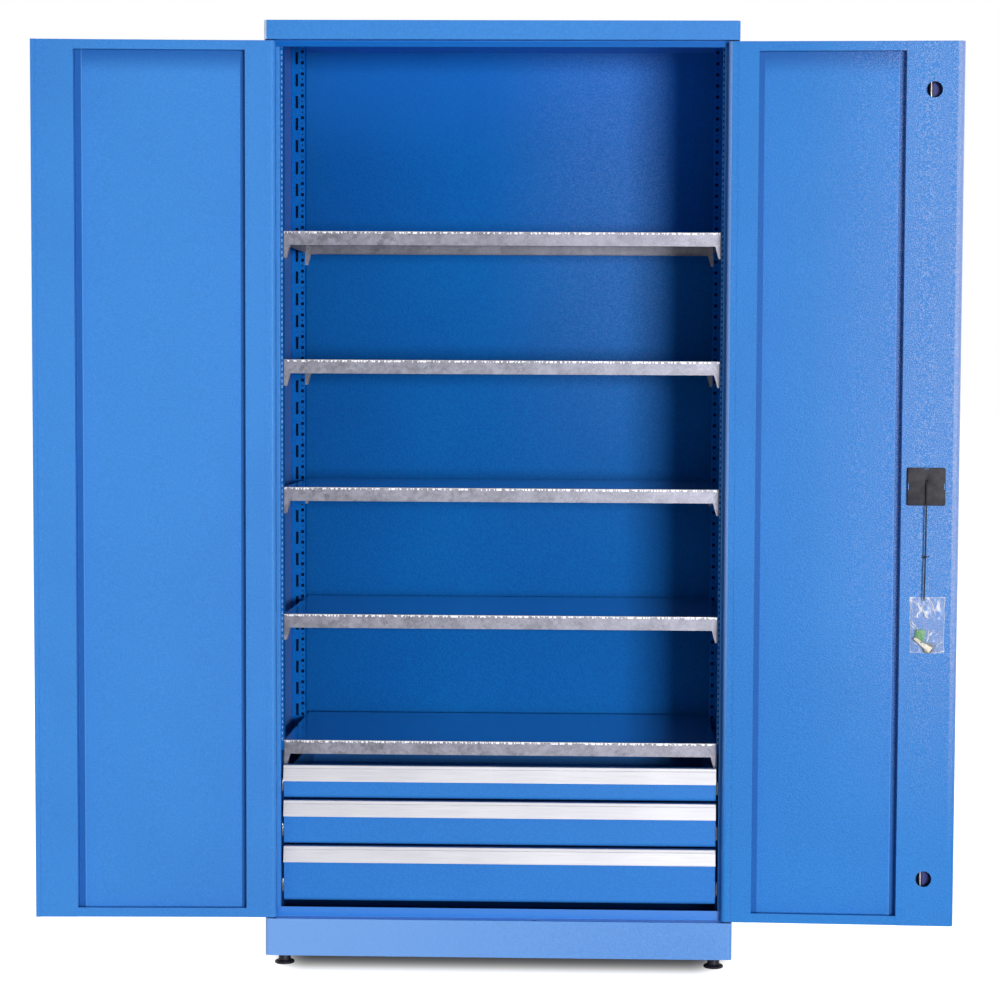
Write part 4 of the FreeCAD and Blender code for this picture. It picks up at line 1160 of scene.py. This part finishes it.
@dataclass
class Shelves:
    """Five galvanised shelves on tapered clips."""

    count: int = 5

    def dress(self) -> None:
        """Finishes the shelves and clips."""
        paint(Palette.GALVANISED, ["shelf_%d" % k for k in range(1, self.count + 1)] + ["shelf_clips"])


@dataclass
class Doors:
    """Two hinged doors with folded stiles."""

    def dress(self) -> None:
        """Finishes both doors and their bushes."""
        for side in Side:
            stem = side.word + "_door_"
            coat = Palette.LEFT_DOOR if side is Side.LEFT else Palette.RIGHT_DOOR
            paint(coat, [stem + "skin", stem + "hinge_stile", stem + "lock_stile"])
            paint(Palette.NYLON, [stem + "bushes"])


@dataclass
class Lock:
    """Rod lock of the right door with its handle and cover."""

    plane: DoorPlane = field(default_factory=DoorPlane)
    middle: Point = (-0.413, 0.0201, 1.046)
    cover_edge: float = 0.0008
    plate_edge: float = 0.0012
    handle_edge: float = 0.0016
    slot_inset: float = 0.0376
    slot_rim: float = 0.2
    slot_dish: float = 0.00005
    slot_back: float = 0.0004
    slots: tuple[tuple[float, float, float, float], ...] = (
        (0.0, 1.0, 0.0100, 0.0011), (1.0, 0.0, 0.0013, 0.0130), (-1.0, 0.0, 0.0013, 0.0130),
    )

    def release_slots(self) -> None:
        """Models the three slots in the cover's rim through which the blue door shows."""
        made = []
        x, y, z = self.middle
        for across, up, wide, tall in self.slots:
            spot = (x + across * self.slot_inset, y, z + up * self.slot_inset)
            rim = (min(wide, tall) * self.slot_rim, -self.slot_dish)
            made.append(Bench.tile("cover_slot", spot, (wide, tall), Palette.GLINT_AND_SLOT_BLUE, rim, self.slot_back,
                                   turn=-UPRIGHT))
        slots = Bench.join(made, "cover_release_slots")
        self.plane.hang(slots)
        Bench.settle(slots, Body.RIGHT_DOOR.value, Slot.COAT)

    def dress(self) -> None:
        """Finishes the lock's nodes, the ones that a hand meets with rounded edges."""
        rounded("lock_cover", Body.RIGHT_DOOR, Palette.PLASTIC, Slot.PLASTIC, self.cover_edge)
        self.release_slots()
        rounded("handle_plate", Body.RIGHT_DOOR, Palette.PLASTIC, Slot.PLASTIC, self.plate_edge)
        rounded("handle", Body.HANDLE, Palette.PLASTIC, Slot.PLASTIC, self.handle_edge)
        paint(Palette.PLASTIC, ["lock_rod_guides"])
        paint(Palette.NICKEL, ["key_barrel"])
        paint(Palette.DULL_ZINC, ["lock_cam", "upper_lock_rod", "lower_lock_rod"])


@dataclass
class Drawers:
    """Three drawers on telescopic slides, whose bright hooks show beside the fronts."""

    count: int = 3
    hook_x: float = 0.4711
    hook_y: float = -0.2044
    hook_z: tuple[float, ...] = (0.167, 0.288, 0.387)
    hook_size: Pair = (0.0022, 0.0280)
    hook_rim: Pair = (0.0007, 0.0003)
    hook_back: float = 0.0010

    def hooks(self) -> None:
        """Models the slides' hooks in the front posts, one turned lug at each slide."""
        for side in Side:
            made = []
            for z in self.hook_z:
                spot = (side.value * self.hook_x, self.hook_y, z)
                made.append(Bench.tile("slide_hook", spot, self.hook_size, Palette.DULL_ZINC, self.hook_rim,
                                       self.hook_back))
            hooks = Bench.join(made, side.word + "_slide_hooks")
            Bench.settle(hooks, Body.CARCASS.value, Slot.ZINC)

    def dress(self) -> None:
        """Finishes fronts, grips, boxes and slides."""
        for k in range(1, self.count + 1):
            stem = "drawer_%d_" % k
            paint(Palette.FRAME, [stem + "front", stem + "box"])
            paint(Palette.GRIP, [stem + "grip"])
            paint(Palette.ZINC, [stem + "inner_rails", stem + "middle_rails"])
        self.hooks()


@dataclass
class Feet:
    """Levelling feet with a flared pad, a straight neck and a stud."""

    spread: Pair = (0.465, 0.218)
    sides: int = 40
    collar: float = 0.0301
    rings: tuple[Pair, ...] = (
        (0.0206, 0.0000), (0.0213, 0.0010), (0.0213, 0.0034), (0.0203, 0.0046), (0.0170, 0.0058),
        (0.0143, 0.0076), (0.0131, 0.0104), (0.0128, 0.0280), (0.0118, 0.0300), (0.0050, 0.0300),
        (0.0050, 0.0840), (0.0042, 0.0850),
    )

    def foot(self) -> bpy.types.Object:
        """Models one foot round the origin.

        Returns:
            The foot, with black moulding below and zinc on the stud.
        """
        Bench.clear()
        radius, height = self.rings[0]
        bpy.ops.mesh.primitive_circle_add(vertices=self.sides, radius=radius, fill_type="NGON",
                                          location=(0.0, 0.0, height))
        foot = Bench.named("front_left_levelling_foot")
        foot.data.materials.append(Palette.PLASTIC.material())
        foot.data.materials.append(Palette.ZINC.material())
        Bench.edit_faces(foot)
        for (last_radius, last_height), (radius, height) in zip(self.rings, self.rings[1:]):
            rise = {"value": (0.0, 0.0, height - last_height)}
            bpy.ops.mesh.extrude_region_move(TRANSFORM_OT_translate=rise)
            ratio = radius / last_radius
            bpy.ops.transform.resize(value=(ratio, ratio, 1.0), center_override=(0.0, 0.0, height))
        bpy.ops.mesh.select_all(action="SELECT")
        bpy.ops.mesh.normals_make_consistent(inside=False)
        Bench.done()
        for face in foot.data.polygons:
            face.material_index = int(face.center.z > self.collar)
        return foot

    def fit(self, piece: bpy.types.Object, node: str) -> None:
        """Puts a foot in the place of its CAD node."""
        Bench.settle(piece, node + "_body", Slot.PLASTIC, smooth=28.0)
        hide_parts(node)

    def dress(self) -> None:
        """Models one foot and sets a copy at each corner."""
        across, deep = self.spread
        first = self.foot()
        first.location = (-across, -deep, 0.0)
        feet: dict[str, bpy.types.Object] = {}
        for place, y in (("front", -deep), ("rear", deep)):
            for side in Side:
                corner = "%s_%s" % (place, side.word)
                shift = (side.value * across + across, y + deep, 0.0)
                feet[corner] = Bench.twin(first, corner + "_levelling_foot", shift) if any(shift) else first
        for corner, piece in feet.items():
            self.fit(piece, corner + "_foot")


@dataclass
class KeySet:
    """Keys and tag in a clear bag, hung on a cord from the lock cover; places are in the door's frame."""

    plane: DoorPlane = field(default_factory=DoorPlane)
    diameter: float = 0.0032
    length: float = 0.257
    route: tuple[Point, ...] = (
        (-0.413, 0.0200, 1.058), (-0.413, 0.0256, 1.058), (-0.4128, 0.0256, 1.039),
        (-0.4125, 0.0256, 0.897), (-0.4105, 0.0256, 0.805),
    )
    second_leg: tuple[Point, ...] = (
        (-0.4163, 0.0202, 1.0600), (-0.4160, 0.0246, 1.0578), (-0.4136, 0.0258, 1.0460),
    )
    leg_radius: float = 0.0012
    knot_at: Point = (-0.4122, 0.0256, 0.897)
    knot_turns: tuple[Point, ...] = (
        (0.3, 0.0, 7.0), (2.0, 1.6, 3.2), (-2.4, 2.2, 1.4), (-2.2, -2.0, -0.8), (2.4, -2.0, -2.2),
        (2.4, 1.8, 0.2), (-1.8, 1.6, 2.4), (-1.2, -1.8, 0.6), (0.2, 0.0, -6.5),
    )
    knot_radius: float = 0.0013
    tail_turns: tuple[Point, ...] = ((0.0, 0.0, 0.0), (-3.5, 0.6, 0.5), (-9.0, 0.8, 2.4))
    tail_radius: float = 0.0009
    bag_middle: float = -0.419
    bag_size: Pair = (0.078, 0.123)
    bag_floor: float = 0.690
    bag_back: float = 0.0133
    bag_margin: float = 0.002
    films: tuple[Pair, ...] = ((0.0128, 1.0), (0.0012, 0.4))
    film_grid: tuple[int, int] = (34, 54)
    film_limits: Pair = (0.0003, 0.0146)
    weld_from: float = 0.485
    weld_seam_and_glint: float = 0.8
    tag_at: Pair = (-0.4035, 0.7290)
    tag_out: float = 0.0028
    tag_size: Point = (0.0215, 0.0022, 0.0270)
    tag_lean: float = math.radians(-6.0)
    tag_edge: float = 0.0009
    tag_hole: Pair = (0.0035, 0.0098)
    tag_bore: float = 0.0020
    keys: tuple[tuple[str, Point, float], ...] = (
        ("door_key", (-0.4225, 0.0056, 0.7045), math.radians(58.0)),
        ("spare_key", (-0.4215, 0.0074, 0.7020), math.radians(50.0)),
    )
    key_edge: float = 0.0002
    bow_radius: float = 0.0100
    bow_thick: float = 0.0018
    bow_rim: Pair = (0.0018, -0.0003)
    eye_below: float = 0.0052
    eye_bore: float = 0.0026
    blade_above: float = 0.0225
    blade_size: Pair = (0.0066, 0.0280)
    blade_thick: float = 0.0016
    blade_cuts: tuple[float, ...] = (0.0, 0.0016, 0.0007, 0.0021)
    cap_at: Point = (-0.4085, 0.0098, 0.7120)
    cap_size: Point = (0.0440, 0.0030, 0.0165)
    cap_tapers: tuple[tuple[float, Point], ...] = ((1.0, (1.0, 0.8, 0.26)), (-1.0, (1.0, 1.0, 0.82)))
    cap_lean: float = math.radians(-36.0)
    cap_edge: float = 0.0008
    cap_hole: Point = (0.004, 0.0, 0.0015)
    cap_bore: float = 0.0017

    def strand(self, name: str, points: Sequence[Point], radius: float) -> bpy.types.Object:
        """A cord along a smooth line.

        Args:
            name: the piece's name.
            points: control points in the door's frame.
            radius: half the cord's thickness.

        Returns:
            The curve.
        """
        line = bpy.data.curves.new(name, "CURVE")
        line.dimensions = "3D"
        line.resolution_u = 12
        line.bevel_depth = radius
        line.bevel_resolution = 4
        line.use_fill_caps = True
        spline = line.splines.new("NURBS")
        spline.points.add(len(points) - 1)
        for control, point in zip(spline.points, points):
            control.co = (*self.plane.spot(point), 1.0)
        spline.order_u = 3
        spline.use_endpoint_u = True
        obj = bpy.data.objects.new(name, line)
        bpy.context.scene.collection.objects.link(obj)
        obj.data.materials.append(Palette.CORD.material())
        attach(obj, Body.RIGHT_DOOR.value)
        log.info("%s rides on %s", name, Body.RIGHT_DOOR.value)
        return obj

    def by_knot(self, turns: Sequence[Point]) -> list[Point]:
        """Points round the knot.

        Args:
            turns: their places from the knot's middle, in millimetres.

        Returns:
            The points in the door's frame.
        """
        x, y, z = self.knot_at
        return [(x + a * MILLIMETRE, y + b * MILLIMETRE, z + c * MILLIMETRE) for a, b, c in turns]

    def bag(self) -> None:
        """Models the crumpled clear bag: two films, welded at the edges and pushed apart by the keys."""
        layers = []
        columns, lines = self.film_grid
        for depth, loose in self.films:
            Bench.clear()
            bpy.ops.mesh.primitive_grid_add(x_subdivisions=columns, y_subdivisions=lines, size=1.0)
            film = Bench.named("bag_film")
            film.data.materials.append(Palette.FILM.material())
            weld = film.data.attributes.new("weld", "FLOAT", "POINT")
            for vertex, mark in zip(film.data.vertices, weld.data):
                across, up, _ = vertex.co
                mark.value = float(max(abs(across), abs(up)) > self.weld_from) * self.weld_seam_and_glint
                vertex.co = self.film_spot(across, up, depth, loose)
            layers.append(film)
        bag = Bench.join(layers, "key_pouch")
        Bench.edit_faces(bag)
        bpy.ops.mesh.remove_doubles(threshold=2e-5)
        bpy.ops.mesh.normals_make_consistent(inside=False)
        Bench.done()
        self.plane.hang(bag)
        Bench.settle(bag, Body.RIGHT_DOOR.value, Slot.FILM, smooth=60.0)
        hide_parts("key_bag")

    def film_spot(self, across: float, up: float, depth: float, loose: float) -> Vector:
        """Where a point of a film lies in the door's frame.

        Args:
            across: place across the film, -0.5 to 0.5.
            up: place up the film, -0.5 to 0.5.
            depth: how far the keys push the film out.
            loose: share of the folds that the film takes.

        Returns:
            The point.
        """
        wide, tall = (size - 2 * self.bag_margin for size in self.bag_size)
        weld = max(0.0, 1.0 - (2.0 * across) ** 2) ** 0.5
        weld *= min(1.0, (0.5 + up) * 7.0) * min(1.0, (0.5 - up) * 9.0)
        belly = 0.35 + 0.65 * math.exp(-((up + 0.22) / 0.28) ** 2)
        fan = math.sin(11.0 * math.atan2(across, 0.75 - up) + 0.6) * max(0.0, up + 0.1) * 0.0022
        crumple = noise.noise(Vector((across * 7.0, up * 6.0, depth * 300.0))) * 0.0026
        crumple += noise.noise(Vector((across * 16.0, up * 11.0, 4.0 + depth * 300.0))) * 0.0012
        wave = noise.noise(Vector((0.3 + math.copysign(1.0, across), up * 5.0, 2.0))) * 0.0018
        lift = noise.noise(Vector((across * 4.0, math.copysign(1.0, up), 7.0))) * 0.0016
        out = 0.0006 + weld * (depth * belly + (fan + crumple) * loose)
        nearest, furthest = self.film_limits
        side = across * wide * (1.0 - 0.03 * (0.5 - up)) + wave * abs(across) * 2.0
        level = self.bag_floor + self.bag_margin + (up + 0.5) * tall + lift * abs(up) * 2.0
        return Vector((self.bag_middle + side, self.bag_back + min(furthest, max(nearest, out)), level))

    def tag(self) -> None:
        """Models the green tag with its hole."""
        Bench.clear()
        x, z = self.tag_at
        y = self.bag_back + self.tag_out
        bpy.ops.mesh.primitive_cube_add(size=1.0, location=(x, y, z))
        tag = Bench.named("key_tag_plate")
        tag.scale = self.tag_size
        tag.rotation_euler = (0.0, self.tag_lean, 0.0)
        tag.data.materials.append(Palette.TAG.material())
        bpy.ops.object.transform_apply(location=False, rotation=False, scale=True)
        Bench.modify(tag, "BEVEL", width=self.tag_edge, segments=3)
        Bench.drill(tag, (x + self.tag_hole[0], y, z + self.tag_hole[1]), self.tag_bore, 20)
        self.plane.hang(tag)
        Bench.settle(tag, Body.RIGHT_DOOR.value, Slot.TAG)
        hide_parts("key_tag")

    def key(self, name: str, spot: Point, lean: float) -> bpy.types.Object:
        """A flat key: bow with a rim and eye, blade with cuts.

        Args:
            name: the piece's name.
            spot: middle of the bow, its Y from the bag's back.
            lean: turn of the key from upright.

        Returns:
            The key.
        """
        Bench.clear()
        bpy.ops.mesh.primitive_cylinder_add(vertices=28, radius=self.bow_radius, depth=self.bow_thick,
                                            rotation=(UPRIGHT, 0.0, 0.0))
        bow = Bench.named(name)
        Bench.apply()
        Bench.edit_faces(bow, lambda centre, normal: abs(normal.y) > FACING)
        bpy.ops.mesh.inset(thickness=self.bow_rim[0], depth=self.bow_rim[1])
        Bench.done()
        Bench.drill(bow, (0.0, 0.0, -self.eye_below), self.eye_bore, 16)
        Bench.clear()
        bpy.ops.mesh.primitive_grid_add(x_subdivisions=2, y_subdivisions=13, size=1.0,
                                        rotation=(UPRIGHT, 0.0, 0.0), location=(0.0, 0.0, self.blade_above))
        blade = Bench.named(name + "_blade")
        blade.scale = (*self.blade_size, 1.0)
        Bench.apply()
        levels = sorted({round(vertex.co.z, 5) for vertex in blade.data.vertices})
        for vertex in blade.data.vertices:
            level = levels.index(round(vertex.co.z, 5))
            if vertex.co.x > MILLIMETRE and level > 2:
                vertex.co.x -= self.blade_cuts[level % len(self.blade_cuts)]
        Bench.modify(blade, "SOLIDIFY", thickness=self.blade_thick, offset=0.0)
        key = Bench.join([bow, blade], name)
        key.data.materials.clear()
        key.data.materials.append(Palette.KEY.material())
        Bench.soften(key, self.key_edge, 2)
        return self.lay(key, spot, lean)

    def cap(self) -> None:
        """Models the cream pointed cap over the second key's bow."""
        Bench.clear()
        bpy.ops.mesh.primitive_cube_add(size=1.0)
        cap = Bench.named("key_cap")
        cap.scale = self.cap_size
        Bench.apply()
        half = self.cap_size[0] / 2
        for end, taper in self.cap_tapers:
            Bench.edit_faces(cap, lambda centre, normal: normal.x * end > FACING)
            bpy.ops.transform.resize(value=taper, center_override=(end * half, 0.0, 0.0))
            Bench.done()
        cap.data.materials.append(Palette.CREAM.material())
        Bench.drill(cap, self.cap_hole, self.cap_bore, 18)
        Bench.soften(cap, self.cap_edge, 3)
        self.lay(cap, self.cap_at, self.cap_lean)

    def lay(self, piece: bpy.types.Object, spot: Point, lean: float) -> bpy.types.Object:
        """Lays a piece that was modelled round the origin in the bag.

        Args:
            piece: the piece.
            spot: its place, its Y from the bag's back.
            lean: its turn about Y.

        Returns:
            The piece.
        """
        place = Vector(spot) + Vector((0.0, self.bag_back, 0.0))
        piece.matrix_world = Matrix.Translation(place) @ Matrix.Rotation(lean, 4, "Y")
        self.plane.hang(piece)
        return Bench.settle(piece, Body.RIGHT_DOOR.value, Slot.KEY)

    def build(self) -> None:
        """Models the cord with all that hangs on it."""
        cord = self.strand("hanging_cord", self.route, self.diameter / 2)
        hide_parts("key_cord")
        knot = self.strand("cord_knot", self.by_knot(self.knot_turns), self.knot_radius)
        tail = self.strand("cord_tail", self.by_knot(self.tail_turns), self.tail_radius)
        leg = self.strand("cord_second_leg", self.second_leg, self.leg_radius)
        self.bag()
        self.tag()
        first, _ = [self.key(*key) for key in self.keys]
        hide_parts("keys")
        self.cap()
        tuple(self.plane.spot(self.route[0]))
        log.info("key set hangs %.0f mm below the cover", self.length / MILLIMETRE)


@dataclass(frozen=True)
class Softbox:
    """A lamp: its place, what it points at, its width and height, and its share of full light there."""

    name: str
    spot: Point
    aim: Point
    size: Pair
    level: float

    def hang(self) -> None:
        """Hangs the lamp in the scene."""
        data = bpy.data.lights.new(self.name, "AREA")
        data.shape = "RECTANGLE"
        data.size, data.size_y = self.size
        way = Vector(self.aim) - Vector(self.spot)
        data.energy = self.level * math.pi ** 2 * way.length_squared
        obj = bpy.data.objects.new(self.name, data)
        obj.location = self.spot
        obj.rotation_euler = way.to_track_quat("-Z", "Y").to_euler()
        obj.visible_camera = False
        bpy.context.scene.collection.objects.link(obj)


@dataclass
class Studio:
    """Camera, lamps, floor and white surroundings."""

    eye: Point = (0.2250, -5.1719, 1.2900)
    turn: float = math.radians(1.332)
    pitch: float = math.radians(86.762)
    roll: float = math.radians(0.305)
    lens: float = 83.36
    shift: float = -0.0516
    ambient: float = 0.16
    ambient_tone: Colour = (0.96, 0.98, 1.0)
    room: float = 0.40
    white: Colour = (1.0, 1.0, 1.0)
    floor_size: float = 120.0
    floor_tone: Colour = (0.42, 0.41, 0.40)
    floor_glow: float = 0.02
    shadow_half: Pair = (0.41, 0.12)
    shadow_fade: Pair = (0.10, 0.19)
    softboxes: tuple[Softbox, ...] = (
        Softbox("key_softbox", (3.25, -9.4, 1.25), (0.0, -0.25, 1.0), (2.3, 1.5), 0.79),
        Softbox("fill_softbox", (-2.7, -2.9, 0.9), (-0.7, -0.25, 0.9), (1.2, 1.8), 0.10),
        Softbox("rear_softbox", (1.6, 6.5, 5.0), (0.0, 0.1, 1.4), (2.6, 2.2), 0.60),
        Softbox("left_softbox", (-6.0, 3.0, 2.6), (-0.5, 0.0, 1.1), (2.0, 2.4), 0.38),
        Softbox("right_softbox", (6.0, 3.0, 2.6), (0.5, 0.0, 1.1), (2.0, 2.4), 0.22),
    )

    def camera(self) -> None:
        """Sets up the camera at the photograph's view."""
        data = bpy.data.cameras.new("view")
        data.lens = self.lens
        data.sensor_width = 36.0
        data.shift_x = self.shift
        data.clip_end = 200.0
        obj = bpy.data.objects.new("view", data)
        obj.matrix_world = (
            Matrix.Translation(Vector(self.eye))
            @ Matrix.Rotation(self.turn, 4, "Z")
            @ Matrix.Rotation(self.pitch, 4, "X")
            @ Matrix.Rotation(self.roll, 4, "Z")
        )
        bpy.context.scene.collection.objects.link(obj)
        bpy.context.scene.camera = obj

    def world(self) -> None:
        """White surroundings for what is seen, softer light for what is lit."""
        world = bpy.data.worlds.new("surroundings")
        bpy.context.scene.world = world
        graph = Graph(world)
        camera = graph.node("ShaderNodeLightPath").out("Is Camera Ray")
        way = graph.node("ShaderNodeSeparateXYZ", {}, {0: graph.node("ShaderNodeTexCoord").out("Generated")})
        front = (way.out(1) * -1.4).held() * (1.0 - way.out(2) * 1.3).held()
        tone = 1.0 - front * (1.0 - self.room) * (1.0 - camera)
        lit, seen = [
            graph.node("ShaderNodeBackground", {}, {"Color": colour, "Strength": strength}).out(0)
            for colour, strength in ((self.ambient_tone, self.ambient), (self.white, tone))
        ]
        mixed = graph.node("ShaderNodeMixShader", {}, {0: graph.seen(), 1: lit, 2: seen}).out(0)
        graph.node("ShaderNodeOutputWorld", {}, {"Surface": mixed})

    def floor(self) -> None:
        """A white floor that keeps the cabinet's shadow near it and fades into the surroundings."""
        Bench.clear()
        bpy.ops.mesh.primitive_plane_add(size=self.floor_size, location=(0.0, 0.0, 0.0))
        floor = Bench.named("studio_floor")
        made = bpy.data.materials.new("studio_floor")
        graph = Graph(made)
        beside, before = [
            ((place.at_least(place * -1.0) - half) / fade).at_least(0.0).squared()
            for place, half, fade in zip(graph.axes(), self.shadow_half, self.shadow_fade)
        ]
        far = (beside + before).step(0.0, 1.0)
        strength = graph.seen() * (self.floor_glow + far)
        glow = graph.node("ShaderNodeEmission", {}, {"Strength": strength}).out(0)
        matt = graph.node("ShaderNodeBsdfDiffuse", {}, {"Color": self.floor_tone}).out(0)
        both = graph.node("ShaderNodeAddShader", {}, {0: glow, 1: matt}).out(0)
        graph.node("ShaderNodeOutputMaterial", {}, {"Surface": both})
        floor.data.materials.append(made)

    def build(self) -> None:
        """Sets the whole studio."""
        bpy.context.scene.view_settings.view_transform = "Standard"
        self.camera()
        self.world()
        self.floor()
        for softbox in self.softboxes:
            softbox.hang()


def main() -> None:
    """Builds the studio and dresses each sub-assembly in turn."""
    Studio().build()
    KeySet().build()
    posts = Posts()
    posts.build()
    for part in (Carcass(), posts, Shelves(), Doors(), Lock(), Drawers(), Feet()):
        part.dress()
        log.info("%s dressed", type(part).__name__)


if __name__ == "__main__":
    main()
